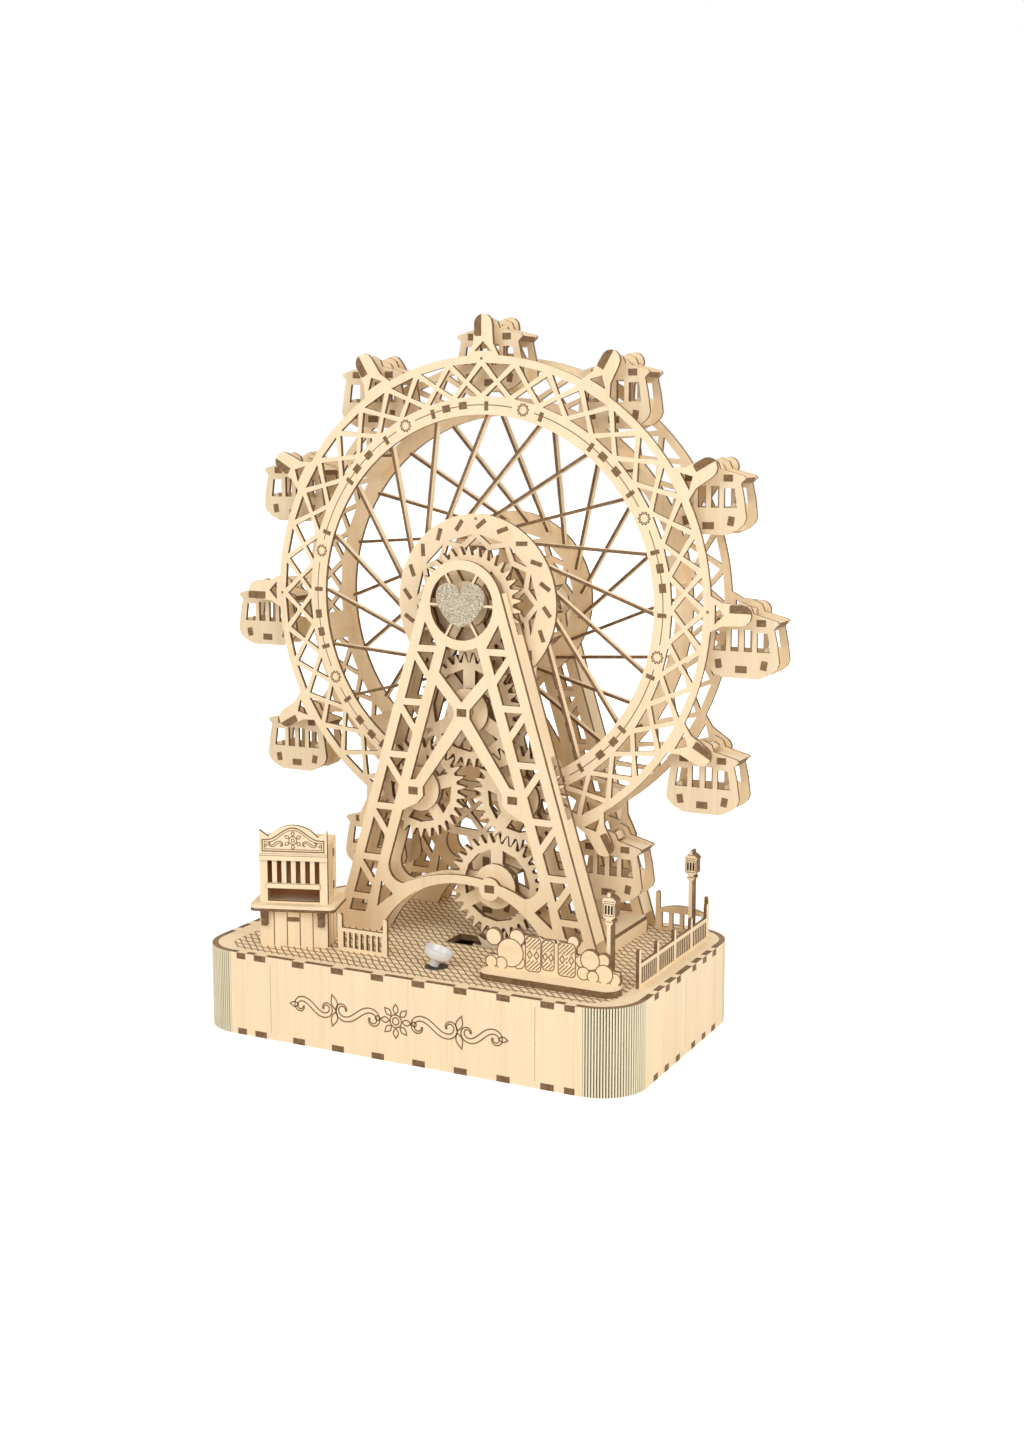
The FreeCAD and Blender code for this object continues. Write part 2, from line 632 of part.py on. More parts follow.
def gear_train():
    bore = math.hypot(size("pivot_width"), size("pivot_height")) / 2 + size("pivot_clearance")
    disc = size("gear_disc_radius")
    wheel = (0.0, WHEEL_Z, count("wheel_teeth"), 90.0)

    first_at = first_gear_centre()
    first = first_at + (count("first_teeth"), mesh_phase(wheel, first_at + (count("first_teeth"),)))
    placed = [("first_idler_gear", first, 3)]
    for label, side in (("left_idler_gear", -1), ("right_idler_gear", 1)):
        at = side_gear_centre(side)
        teeth = count("second_teeth")
        placed.append((label, at + (teeth, mesh_phase(first, at + (teeth,))), 5))
    low_at = low_gear_centre()
    teeth = count("fourth_teeth")
    low = low_at + (teeth, mesh_phase(placed[2][1], low_at + (teeth,)))
    placed.append(("lower_drive_gear", low, 3))

    for label, (x, z, teeth, phase), windows in placed:
        rim = teeth * MODULE / 2 - size("tooth_depth") - 3.2
        openings = kidney_windows(disc + 0.4, rim, windows, 6.4, 90.0)
        feature(label, gear_solids(teeth, phase, bore, openings, disc), standing(GEAR_BACK, x, z))

    rim = pitch_radius("wheel_teeth") - size("tooth_depth") - 3.2
    feature("wheel_gear", gear_solids(count("wheel_teeth"), 90.0, size("shaft_radius"),
                                      kidney_windows(disc + 0.4, rim, 6, 4.4, 60.0), disc),
            standing(GEAR_BACK, 0, WHEEL_Z))

    pinion_at = pinion_centre()
    teeth = count("pinion_teeth")
    phase = mesh_phase(low, pinion_at + (teeth,))
    feature("crank_pinion", gear_solids(teeth, phase, size("crank_radius"), [], 0),
            standing(GEAR_BACK, pinion_at[0], pinion_at[1]))


def gear_pivots():
    """Fixed axle bars between the plates of the front tower; their ends show in the plates."""
    bars = []
    for number, (x, z) in enumerate((first_gear_centre(), side_gear_centre(-1), side_gear_centre(1),
                                     low_gear_centre()), start=1):
        corner = Vector(x - size("pivot_width") / 2, FRONT_PLATE_FRONT, z - size("pivot_height") / 2)
        bars.append(box("gear_pivot_%d" % number, "Sizes.pivot_width", "Sizes.tower_depth",
                        "Sizes.pivot_height", corner))
    group("gear_pivots", bars)


# ---------------------------------------------------------------- wheel

def lattice_openings():
    """Openings of the crossed strips between the rim and the outer band, one cell per node."""
    nodes = count("lattice_nodes")
    half = 180.0 / nodes
    far, near, width = size("band_inner"), size("rim_outer"), size("strip_width") / 2
    sine, cosine = math.sin(math.radians(half)), math.cos(math.radians(half))
    lean = math.atan2((far + near) * sine, (far - near) * cosine)
    cross = far * cosine - (far - near) * cosine * far / (far + near)
    outer_corner = half - math.degrees(width / math.cos(lean) / far) - 0.35
    inner_corner = half - math.degrees(width / math.cos(lean) / near) - 0.35
    openings = []
    for index in range(nodes):
        node = 90.0 + index * 2 * half
        middle = node + half
        side_out = (cross, width / math.cos(lean))
        openings.append(turned([(cross + width / math.sin(lean), 0.0), polar(far, outer_corner),
                                polar(far, -outer_corner)], middle))
        openings.append(turned([(cross - width / math.sin(lean), 0.0), polar(near, -inner_corner),
                                polar(near, inner_corner)], middle))
        turn = math.radians(half)
        reach = math.hypot(*side_out)
        swing = half - math.degrees(math.atan2(side_out[1], side_out[0]))
        openings.append([polar(far - width / math.sin(lean - turn), node), polar(reach, node + swing),
                         polar(near + width / math.sin(lean + turn), node), polar(reach, node - swing)])
    return openings


def ring_outline():
    """Outer band with one forked arm for each cabin."""
    radius = size("band_outer")
    root = math.degrees(math.asin(size("arm_root_half") / radius))
    step = 360.0 / count("cabin_count")
    tip, half = size("arm_tip"), size("arm_half")
    shoulder = tip - half
    cap = [(shoulder + half * math.cos(angle), half * math.sin(angle))
           for angle in (math.radians(90 - 30 * number) for number in range(7))]
    arm = [(121.5, half + 0.6)] + cap + [(121.5, -half - 0.6)]
    path = []
    for index in range(count("cabin_count")):
        middle = 90.0 - size("arm_lead") - index * step
        if not path:
            path.append(polar(radius, middle + root))
        path += turned(arm, middle)
        start, end = middle - root, middle - step + root
        path += [polar(radius, start), ("arc", polar(radius, (start + end) / 2), polar(radius, end))]
    return path


def ring_segments():
    """Lattice ring cut into four equal segments, lying in X-Y."""
    openings = [many_sided(size("rim_inner"), 96)] + lattice_openings()
    step = 360.0 / count("cabin_count")
    for index in range(count("cabin_count")):
        middle = 90.0 - size("arm_lead") - index * step
        openings.append(turned([(118.0, 4.6), (122.6, 0.0), (118.0, -4.6)], middle))
    ring = plate_shape(ring_outline(), openings, PLY)
    reach = 2 * size("arm_tip")
    segments = []
    for quarter in range(4):
        start = size("segment_joint") + 90 * quarter
        wedge = [(0, 0), polar(reach, start), polar(reach, start + 45), polar(reach, start + 90)]
        segment = ring.common(plate_shape(wedge, [], PLY))
        segments += segment.Solids
    return segments


def wheel_rings():
    segments = ring_segments()
    for label, back in (("front_ring", WHEEL_Y - RING_FACE + PLY), ("rear_ring", WHEEL_Y + RING_FACE)):
        feature(label, Part.makeCompound(segments), standing(back, 0, WHEEL_Z))


def hub_disc(label, back):
    """Disc with a ring of pointed petals between its band and its core."""
    petals = count("petal_count")
    band, core, strip = size("hub_band"), size("hub_core"), size("petal_strip") / 2
    step = 360.0 / petals
    middle = (band + core) / 2
    openings = [many_sided(size("shaft_radius"), 16)]
    for index in range(petals):
        angle = 90.0 + index * step
        swing = step / 2 - math.degrees(strip / middle)
        openings.append([polar(band - 2 * strip, angle), polar(middle, angle + swing),
                         polar(core, angle), polar(middle, angle - swing)])
        gap = angle + step / 2
        pull = step / 2 - math.degrees(2.2 * strip / band)
        openings.append([polar(middle + 3.2 * strip, gap), polar(band, gap + pull), polar(band, gap - pull)])
    disc = plate_body(label, many_sided(size("hub_outer"), 72), openings, "ply",
                      standing(back, 0, WHEEL_Z))
    keep(disc, label)


def hub_and_shaft():
    hub_disc("front_hub_disc", WHEEL_Y - HUB_FACE + PLY)
    hub_disc("rear_hub_disc", WHEEL_Y + HUB_FACE)
    panels = []
    width = size("hub_panel_width")
    inner_gap = size("hub_spread") - 2 * PLY
    for index in range(count("hub_panel_count")):
        turn = Rotation(Vector(0, 1, 0), 360.0 * index / count("hub_panel_count"))
        corner = turn.multVec(Vector(-width / 2, 0, size("hub_panel_radius")))
        corner += Vector(0, WHEEL_Y - HUB_FACE + PLY, WHEEL_Z)
        panels.append(box("hub_panel_%d" % index, "Sizes.hub_panel_width", inner_gap, "Sizes.ply",
                          corner, turn))
    group("hub_cross_panels", panels)

    shaft = doc.addObject("Part::Cylinder", "main_shaft")
    shaft.setExpression("Radius", "Sizes.shaft_radius")
    shaft.Height = 2 * OUTER_PLATE_NEAR - 1.0
    shaft.Placement = Placement(Vector(0, WHEEL_Y - OUTER_PLATE_NEAR + 0.5, WHEEL_Z),
                                Rotation(Vector(1, 0, 0), -90))
    keep(shaft, "main_shaft")
    collar = plate_shape(many_sided(size("collar_radius"), 24), [many_sided(size("shaft_radius"), 16)],
                         size("gear_ply"))
    back = WHEEL_Y + INNER_PLATE_FAR + size("gear_standoff") + size("gear_ply")
    feature("shaft_collar", collar, standing(back, 0, WHEEL_Z))


def spokes(label, sign):
    """Strips on edge from the hub disc out to the ring, swept round by a fixed angle."""
    hub_y = WHEEL_Y + sign * (HUB_FACE - PLY)
    ring_y = WHEEL_Y + sign * (RING_FACE - PLY / 2)
    step = 360.0 / count("spoke_count")
    strips = []
    for index in range(count("spoke_count")):
        start = polar(size("spoke_hub_radius"), size("spoke_hub_phase") + index * step)
        end = polar(size("spoke_end_radius"), size("spoke_end_phase") + index * step)
        strips.append(strip_between(start, end, hub_y, ring_y, sign))
    feature(label, Part.makeCompound(strips))


def strip_between(start, end, start_y, end_y, sign):
    a = Vector(start[0], start_y, WHEEL_Z + start[1])
    b = Vector(end[0], end_y, WHEEL_Z + end[1])
    along = Vector(b.x - a.x, 0, b.z - a.z)
    along.normalize()
    across = Vector(-along.z, 0, along.x) * (size("spoke_ply") / 2)
    depth = Vector(0, -sign * size("spoke_width"), 0)
    corners = [a - across, a + across, a + across + depth, a - across + depth]
    far = [point + (b - a) for point in corners]
    first = Part.makePolygon(corners + [corners[0]])
    second = Part.makePolygon(far + [far[0]])
    return Part.makeLoft([first, second], True, True)


def rim_panels():
    """Flat cross panels that tie the front ring to the rear ring."""
    panels = []
    width = size("rim_panel_width")
    gap = size("ring_spread") - 2 * PLY
    radius = (size("rim_outer") + size("rim_inner")) / 2
    for index in range(count("rim_panel_count")):
        quarter, odd = divmod(index, 2)
        angle = size("rim_panel_phase") + size("rim_panel_step") * odd + 90.0 * quarter
        turn = Rotation(Vector(0, 1, 0), 90.0 - angle)
        corner = turn.multVec(Vector(-width / 2, 0, radius - PLY / 2))
        corner += Vector(0, WHEEL_Y - RING_FACE + PLY, WHEEL_Z)
        panels.append(box("rim_panel_%d" % index, "Sizes.rim_panel_width", gap, "Sizes.ply", corner, turn))
    group("rim_cross_panels", panels)


def cabin_angle(index):
    return 90.0 - size("arm_lead") - index * 360.0 / count("cabin_count")


def cabin_pins():
    """Square axle bars between the arms of the two rings, one for each cabin."""
    half = size("cabin_pin") / 2
    bars = []
    for index in range(count("cabin_count")):
        angle = cabin_angle(index)
        turn = Rotation(Vector(0, 1, 0), 90.0 - angle)
        corner = turn.multVec(Vector(-half, 0, size("cabin_circle") - half))
        corner += Vector(0, WHEEL_Y - RING_FACE + PLY, WHEEL_Z)
        bars.append(box("cabin_pin_%d" % (index + 1), "Sizes.cabin_pin", "Sizes.ring_spread - 2 * Sizes.ply",
                        "Sizes.cabin_pin", corner, turn))
    group("cabin_pins", bars)


# ---------------------------------------------------------------- cabins

def cabin_plate():
    """Side plate of a cabin with its pivot eye at the origin, drawn in X-Z."""
    half, roof, drop, eye = (size("cabin_half_width"), size("cabin_roof_half"), size("cabin_drop"),
                             size("eye_radius"))
    right = [(roof - 1.0, -0.09 * drop), (roof, -0.125 * drop), (half - 2.7, -0.206 * drop),
             (half - 1.2, -0.436 * drop), (half, -0.739 * drop), (half - 1.0, -0.83 * drop),
             (half - 4.0, -0.92 * drop), (half - 9.3, -drop)]
    path = [polar(eye, angle) for angle in (176, 140, 90, 40, 4)]
    path += right + [(-x, z) for x, z in reversed(right)]
    sill, inner_top, outer_top = -0.581 * drop, -0.244 * drop, -0.282 * drop
    windows = []
    for side in (-1, 1):
        windows.append([(side * 1.2, inner_top), (side * 5.1, inner_top), (side * 5.1, sill),
                        (side * 1.2, sill)])
        windows.append([(side * 7.3, outer_top), (side * (half - 5.6), outer_top),
                        (side * (half - 4.4), sill), (side * 7.3, sill)])
    return path, [many_sided(size("eye_hole"), 8)] + windows


def cabin_panels():
    """Cross sections, in X-Z, of the panels between a cabin's side plates: floor, two roofs, two walls."""
    drop, thick, reach = size("cabin_drop"), size("base_ply"), size("cabin_wall_reach")
    lean = math.radians(size("cabin_wall_lean"))
    middle = -0.784 * drop

    def wall_point(rise, outwards):
        """A point of the leaning wall: its rise over the wall's tenon and its distance from the middle sheet."""
        return (reach + rise * math.sin(lean) + outwards * math.cos(lean),
                middle + rise * math.cos(lean) - outwards * math.sin(lean))

    low, high = -4.4, 7.6
    wall = [wall_point(low, -thick / 2), wall_point(low, thick / 2), wall_point(high, thick / 2),
            wall_point(high, -thick / 2)]
    floor_low = -0.914 * drop
    floor_high = floor_low + thick

    def wall_inside(z):
        """Half width of the floor where it meets the wall's inner face, less a hair."""
        rise = (z - middle - thick / 2 * math.sin(lean)) / math.cos(lean)
        return wall_point(rise, -thick / 2)[0] - 0.02

    near, far = wall_inside(floor_low), wall_inside(floor_high)
    floor = [(-near, floor_low), (near, floor_low), (far, floor_high), (-far, floor_high)]
    start, end = size("eye_radius") - 1.2, size("cabin_roof_half")
    roof = [(start, -1.2), (end - 0.9, -0.117 * drop), (end - 2.3, -0.206 * drop), (start, -1.2 - thick)]
    return [floor, roof, mirrored(roof), wall, mirrored(wall)]


def cabins():
    outline, openings = cabin_plate()
    thin = size("cabin_ply")
    depth = size("cabin_depth")
    plate = plate_shape(outline, openings, thin)
    rear = plate.copy()
    rear.translate(Vector(0, 0, depth - thin))
    solids = [plate, rear]
    for path in cabin_panels():
        panel = plate_shape(path, [], depth - 2 * thin)
        panel.translate(Vector(0, 0, thin))
        solids.append(panel)
    cabin = Part.makeCompound(solids)
    for index in range(count("cabin_count")):
        x, z = polar(size("cabin_circle"), cabin_angle(index))
        feature("cabin_%02d" % (index + 1), cabin, standing(WHEEL_Y + depth / 2, x, WHEEL_Z + z))


# ---------------------------------------------------------------- crank

def crank():
    x, z = pinion_centre()
    start = GEAR_FRONT - 1.0
    arm_front = HALF_DEPTH + size("crank_gap")
    shaft = doc.addObject("Part::Cylinder", "crank_shaft")
    shaft.setExpression("Radius", "Sizes.crank_radius")
    shaft.Height = arm_front + BASE_PLY - start
    shaft.Placement = Placement(Vector(x, start, z), Rotation(Vector(1, 0, 0), -90))
    keep(shaft, "crank_shaft")

    half, reach = size("crank_arm_width") / 2, size("crank_reach")
    outline = [(half, 0), ("arc", (0, half), (-half, 0)), (-half, -reach), ("arc", (0, -reach - half), (half, -reach))]
    bore = many_sided(size("crank_radius"), 16)
    bores = [bore, [(u, v - reach) for u, v in bore]]
    keep(plate_body("crank_arm", outline, bores, "base_ply", standing(arm_front + BASE_PLY, x, z)),
         "crank_arm")

    pin = Part.makeCylinder(size("crank_radius"), BASE_PLY + size("knob_length"))
    grip = Part.makeCylinder(size("knob_radius"), size("knob_length"))
    grip.translate(Vector(0, 0, BASE_PLY))
    knob = pin.fuse(grip).removeSplitter()
    feature("crank_handle", knob,
            Placement(Vector(x, arm_front, z - reach), Rotation(Vector(1, 0, 0), -90)))

    bracket_half = size("bracket_width") / 2
    bracket = rectangle(-bracket_half, BASE_PLY - z, bracket_half, DECK_UNDERSIDE - z)
    hole = many_sided(size("crank_radius") + size("shaft_clearance"), 16)
    keep(plate_body("crank_bracket", bracket, [hole], "base_ply", standing(GEAR_BACK + 2 * BASE_PLY, x, z)),
         "crank_bracket")


# ---------------------------------------------------------------- booth, fences, lamps, sign

def booth_place(local):
    turn = Rotation(Vector(0, 0, 1), size("booth_turn"))
    origin = Vector(size("booth_x"), size("booth_y"), DECK_TOP)
    return Placement(origin, turn).multiply(local)


def booth():
    half = size("booth_width") / 2
    depth, height = size("booth_cabinet_depth"), size("booth_counter_height")
    counter_top = height + BASE_PLY
    over = size("booth_counter_overhang")
    inner = 2 * half - 2 * PLY
    walls = [
        box("booth_front", "Sizes.booth_width", "Sizes.ply", "Sizes.booth_counter_height", Vector(-half, 0, 0)),
        box("booth_back", inner, "Sizes.ply", "Sizes.booth_counter_height", Vector(-half + PLY, depth - PLY, 0)),
        box("booth_left", "Sizes.ply", depth - PLY, "Sizes.booth_counter_height", Vector(-half, PLY, 0)),
        box("booth_right", "Sizes.ply", depth - PLY, "Sizes.booth_counter_height", Vector(half - PLY, PLY, 0)),
    ]
    bracket = [(0, 0), (0, -7.5), (-2.2, -7.5), (-2.2, -4.0), (-over + 0.6, 0)]
    for name, x in (("booth_left_bracket", -half + 1.2), ("booth_right_bracket", half - 4.2)):
        solid = plate_shape(bracket, [], BASE_PLY)
        turn = Rotation(Vector(0, 0, 1), 90).multiply(Rotation(Vector(1, 0, 0), 90))
        walls.append(piece(name, solid, Placement(Vector(x, 0, height), turn)))
    for item in walls:
        item.Placement = booth_place(item.Placement)
    group("booth_cabinet", walls)

    counter = box("booth_counter", 2 * half + 2 * over, depth + over, "Sizes.base_ply",
                  Vector(-half - over, -over, height))
    counter.Placement = booth_place(counter.Placement)
    keep(counter, "booth_counter")

    kiosk, arch = size("booth_kiosk_height"), size("booth_arch_rise")
    outline = [(-half, 0), (half, 0), (half, kiosk + 0.75 * arch), (half - 1.6, kiosk + 0.62 * arch),
               (half - 4.5, kiosk + 0.42 * arch), ("arc", (0, kiosk + arch), (-half + 4.5, kiosk + 0.42 * arch)),
               (-half + 1.6, kiosk + 0.62 * arch), (-half, kiosk + 0.75 * arch)]
    reach, sill, top = half - 3.8, 0.28 * kiosk, 0.81 * kiosk
    openings = [rectangle(-reach, 0.03 * kiosk, reach, sill - 0.5)]
    gap, bar = 2 * reach / 11.0, 2 * reach / 11.0
    for index in range(6):
        x = -reach + index * (gap + bar)
        openings.append(rectangle(x, sill + 2.0, x + gap, top))
    front_y = 1.0
    face = piece("booth_face", plate_shape(outline, openings, PLY),
                 Placement(Vector(0, front_y + PLY, counter_top), Rotation(Vector(1, 0, 0), 90)))
    side_depth = size("booth_kiosk_depth") - 2 * PLY
    rear_y = front_y + PLY + side_depth
    panels = [
        face,
        box("booth_kiosk_left", "Sizes.ply", side_depth, "Sizes.booth_kiosk_height", Vector(-half + 0.6, front_y + PLY, counter_top)),
        box("booth_kiosk_right", "Sizes.ply", side_depth, "Sizes.booth_kiosk_height", Vector(half - 0.6 - PLY, front_y + PLY, counter_top)),
        box("booth_kiosk_back", "Sizes.booth_width", "Sizes.ply", "Sizes.booth_kiosk_height", Vector(-half, rear_y, counter_top)),
        box("booth_kiosk_roof", "Sizes.booth_width", "Sizes.booth_kiosk_depth - Sizes.ply", "Sizes.ply",
            Vector(-half, front_y + PLY, counter_top + kiosk)),
    ]
    for item in panels:
        item.Placement = booth_place(item.Placement)
    group("booth_kiosk", panels)


def fence_plate(length, bays, slots, post, rail_rise):
    """Fence drawn from x = 0 to length: posts with round heads, top rails that may arch, upright slots."""
    rail, half = size("fence_height"), size("post_half")
    path = [(-half, 0), (length + half, 0)]
    bay = length / bays
    for index in range(bays, -1, -1):
        x = index * bay
        tall = post if index in (0, bays) else post - size("middle_post_drop")
        path += [(x + half, rail), (x + half, tall - half), ("arc", (x, tall), (x - half, tall - half)),
                 (x - half, rail)]
        if rail_rise and index:
            path.append(("arc", (x - bay / 2, rail + rail_rise), (x - bay + half, rail)))
    openings = []
    pitch = (bay - 2 * half - 0.4) / slots
    for index in range(bays):
        start = index * bay + half + 0.2
        for number in range(slots):
            x = start + (number + 0.18) * pitch
            openings.append(rectangle(x, 0.15 * rail, x + 0.64 * pitch, 0.84 * rail))
    return path, openings


def fences():
    half, post = size("post_half"), size("post_height")
    path, openings = fence_plate(size("short_fence_length") - 2 * half, 1, 7, post, 0)
    left = size("short_fence_x") - size("short_fence_length") / 2 + half
    short = plate_body("short_fence", path, openings, "thin_ply",
                       standing(size("short_fence_y"), left, DECK_TOP))

    bays = count("side_fence_bays")
    path, openings = fence_plate(size("side_fence_bay") * bays, bays, 8, post, 0)
    turn = Rotation(Vector(0, 0, 1), 90).multiply(Rotation(Vector(1, 0, 0), 90))
    side = plate_body("side_fence", path, openings, "thin_ply",
                      Placement(Vector(size("side_fence_x"), size("side_fence_start"), DECK_TOP), turn))

    path, openings = fence_plate(size("rear_fence_length") - 2 * half, 1, 4, size("rear_post_height"),
                                 size("rear_rail_rise"))
    left = size("rear_fence_x") - size("rear_fence_length") / 2 + half
    rear = plate_body("rear_fence", path, openings, "thin_ply",
                      standing(size("rear_fence_y"), left, DECK_TOP))
    group("deck_fences", [short, side, rear])


# right half of a lamp post: x, and share of the post's height
LAMP_PROFILE = [(3.0, 0.0), (3.0, 0.035), (1.5, 0.075), (0.9, 0.14), (0.9, 0.655), (1.9, 0.68), (1.9, 0.70),
                (1.2, 0.715), (2.9, 0.745), (2.9, 0.895), (3.3, 0.90), (3.3, 0.915), (2.0, 0.945),
                (0.7, 0.958), (0.7, 0.968)]


def lamps():
    """Two lamp posts of stacked plywood: a flared foot, a thin pole, a lantern, a cap and a round finial."""
    height, depth = size("lamp_height"), size("lamp_depth")
    right = [(x, share * height) for x, share in LAMP_PROFILE]
    left = [(-x, z) for x, z in reversed(right)]
    post = plate_shape(right + [("arc", (0, height), left[0])] + left[1:], [], depth)
    group("lamp_posts", [piece("%s_lamp" % name, post,
                               standing(size("lamp_%s_y" % name) + depth / 2, size("lamp_%s_x" % name), DECK_TOP))
                         for name in ("front", "rear")])


# hedge circles of the sign: centre x and z over its base plate, from the sign's left end, and radius
HEDGE = [(4.0, 14.4, 4.1), (12.4, 8.0, 6.8), (2.8, 2.7, 3.1), (8.0, 2.6, 3.1), (15.8, 15.4, 4.0),
         (51.8, 9.8, 4.8), (58.2, 10.5, 3.2), (52.0, 2.6, 3.1), (58.5, 4.3, 4.5), (63.6, 2.6, 3.1),
         (43.6, 17.0, 3.0)]
# striped boards of the sign: left, bottom, right, top
BOARDS = [(19.8, 0.5, 28.0, 17.0), (28.0, 2.0, 34.6, 16.4), (36.0, 0.5, 45.0, 16.4)]


def sign():
    half, deep = size("sign_length") / 2, size("sign_depth") / 2
    keep(plate_body("sign_base", rounded_rectangle(half, deep, deep - 0.5), [], "base_ply",
                    Placement(Vector(size("sign_x"), size("sign_y"), DECK_TOP), Rotation())), "sign_base")
    panel = plate_shape(rectangle(1.5, 0, 2 * half - 2.0, 6.0), [], PLY)
    shapes = []
    for x, z, radius in HEDGE:
        bush = [(x + u, z + v) for u, v in many_sided(radius, 18)]
        shapes.append(plate_shape(bush, [], PLY))
    for x_low, z_low, x_high, z_high in BOARDS:
        shapes.append(plate_shape(rectangle(x_low, z_low, x_high, z_high), [], PLY))
    panel = panel.multiFuse(shapes)
    below = plate_shape(rectangle(-2 * half, -2 * half, 4 * half, 0), [], PLY)
    panel = panel.cut(below).removeSplitter()
    if panel.ShapeType == "Compound":
        panel = panel.Solids[0]
    back = size("sign_y") + deep - 1.5
    feature("sign_hedge", panel, standing(back, size("sign_x") - half, DECK_TOP + BASE_PLY))


def turned_body(profile):
    """Body of many flat sides round Z through rings of (radius, height)."""
    sides = 20
    rings = []
    for radius, z in profile:
        points = [Vector(x, y, z) for x, y in (polar(radius, 360.0 * side / sides) for side in range(sides))]
        rings.append(Part.makePolygon(points + [points[0]]))
    return Part.makeLoft(rings, True, True)


def spotlight():
    """Clear cup on a stem, leaning to one side, standing on the socket in the deck's hole."""
    stem, cup, height = size("spot_stem"), size("spot_cup"), size("spot_height")
    outside = [(stem, 0), (stem, 0.40 * height), (0.93 * cup, 0.62 * height), (cup, height)]
    inside = [(0.50 * cup, 0.62 * height), (0.84 * cup, 0.72 * height), (0.88 * cup, height)]
    lens = turned_body(outside).cut(turned_body(inside))
    heading, tilt = math.radians(size("spot_heading")), size("spot_tilt")
    lift = stem * math.sin(math.radians(tilt))
    socket_top = Vector(size("spot_x"), size("spot_y"), DECK_TOP + lift)
    axis = Vector(-math.sin(heading), math.cos(heading), 0)
    feature("spotlight_lens", lens, Placement(socket_top, Rotation(axis, tilt)))
    socket = doc.addObject("Part::Cylinder", "spotlight_socket")
    socket.setExpression("Radius", "Sizes.spot_hole")
    socket.setExpression("Height", "Sizes.base_ply")
    socket.Placement = Placement(Vector(size("spot_x"), size("spot_y"), DECK_UNDERSIDE), Rotation())
    keep(socket, "spotlight_socket")


def platform():
    """Low boarding step between the right feet of the towers."""
    gap = size("tower_gap")
    step = box("boarding_step", "Sizes.platform_width", gap, "Sizes.platform_height",
               Vector(size("foot_half_width") - size("platform_width"), WHEEL_Y - gap / 2, DECK_TOP))
    keep(step, "boarding_step")


# ---------------------------------------------------------------- build and write

base_panels()
base_corners()
towers()
heart()
gear_train()
gear_pivots()
wheel_rings()
hub_and_shaft()
spokes("front_spokes", -1)
spokes("rear_spokes", 1)
rim_panels()
cabin_pins()
cabins()
crank()
booth()
fences()
lamps()
sign()
spotlight()
platform()

doc.recompute()

for item in doc.Objects:
    if "Invalid" in item.State or "Error" in item.State:
        raise RuntimeError("object failed: " + item.Name)
for label, item in parts.items():
    if item.Shape.isNull() or not item.Shape.isValid():
        raise RuntimeError("bad shape: " + label)

os.makedirs("parts", exist_ok=True)
for label, item in parts.items():
    item.Shape.exportStep("parts/%s.step" % label)
print("%d nodes" % len(parts))
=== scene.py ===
"""Finish and fine detail of a hand-cranked plywood ferris wheel toy, as a Blender add-on layout.

Lengths are millimetres in the part's own frame (X to the right, Y to the back, Z up), except in the
settings and the materials, where they are metres. The frame's CAD nodes keep their shapes. This file
gives them their finish and adds the pieces that are too fine for the solids: laser marks, tenon ends,
fluted corners, mouldings, dark patches of painted shade in the lantern slots, the rear spokes, the
crank's grip and the clear lens.
"""

import math

import bpy
import numpy as np
from bpy.props import FloatProperty, FloatVectorProperty, IntProperty, PointerProperty
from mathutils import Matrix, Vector


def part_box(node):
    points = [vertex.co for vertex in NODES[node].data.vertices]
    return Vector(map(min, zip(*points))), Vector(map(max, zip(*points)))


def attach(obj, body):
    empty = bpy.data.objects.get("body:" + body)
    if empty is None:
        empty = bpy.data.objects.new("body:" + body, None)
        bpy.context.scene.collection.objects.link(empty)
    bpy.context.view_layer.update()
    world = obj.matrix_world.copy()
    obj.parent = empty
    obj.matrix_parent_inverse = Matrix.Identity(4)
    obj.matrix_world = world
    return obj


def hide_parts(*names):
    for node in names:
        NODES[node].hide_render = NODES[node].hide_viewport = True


bl_info = {
    "name": "Ferris Wheel Finish",
    "version": (1, 0, 0),
    "blender": (4, 5, 0),
    "location": "3D View > Sidebar > Ferris Wheel",
    "description": "Wood finish, laser marks and small parts of a plywood ferris wheel toy",
    "category": "Object",
}

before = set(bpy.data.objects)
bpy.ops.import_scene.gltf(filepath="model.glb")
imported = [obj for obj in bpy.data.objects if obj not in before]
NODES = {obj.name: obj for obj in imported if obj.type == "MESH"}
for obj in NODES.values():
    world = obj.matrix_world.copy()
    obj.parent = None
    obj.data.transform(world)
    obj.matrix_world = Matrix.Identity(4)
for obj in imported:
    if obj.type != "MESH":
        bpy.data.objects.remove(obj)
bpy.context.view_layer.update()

MM = 0.001

BASE_HALF = (112.5, 69.0)
BASE_WALL = 3.0
CORNER_RADIUS = 21.0
DECK_TOP = 40.0

WHEEL_CENTRE = (0.0, 29.0, 203.0)
# the faces that the wheel's plates show to the front and to the back
RING_FACE = {"front": 14.0, "rear": 44.0}
HUB_FACE = {"front": 7.8, "rear": 50.2}
SPOKES = 20
SPOKE_STEP = 360.0 / SPOKES
# degrees where the first spoke meets the ring and the hub; the rear spokes lean the other way
SPOKE_RING = {"front": 52.4, "rear": 127.6}
SPOKE_HUB = {"front": 85.7, "rear": 94.3}
CABINS = ["cabin_%02d" % number for number in range(1, 13)]
CABIN_STEP = 360.0 / len(CABINS)
CABIN_LEAD = 0.4
CABIN_CIRCLE = 128.6
CABIN_HALF_DEPTH = 8.5
# a little more than the thickness of a cabin's end plate
CABIN_PLATE = 1.6

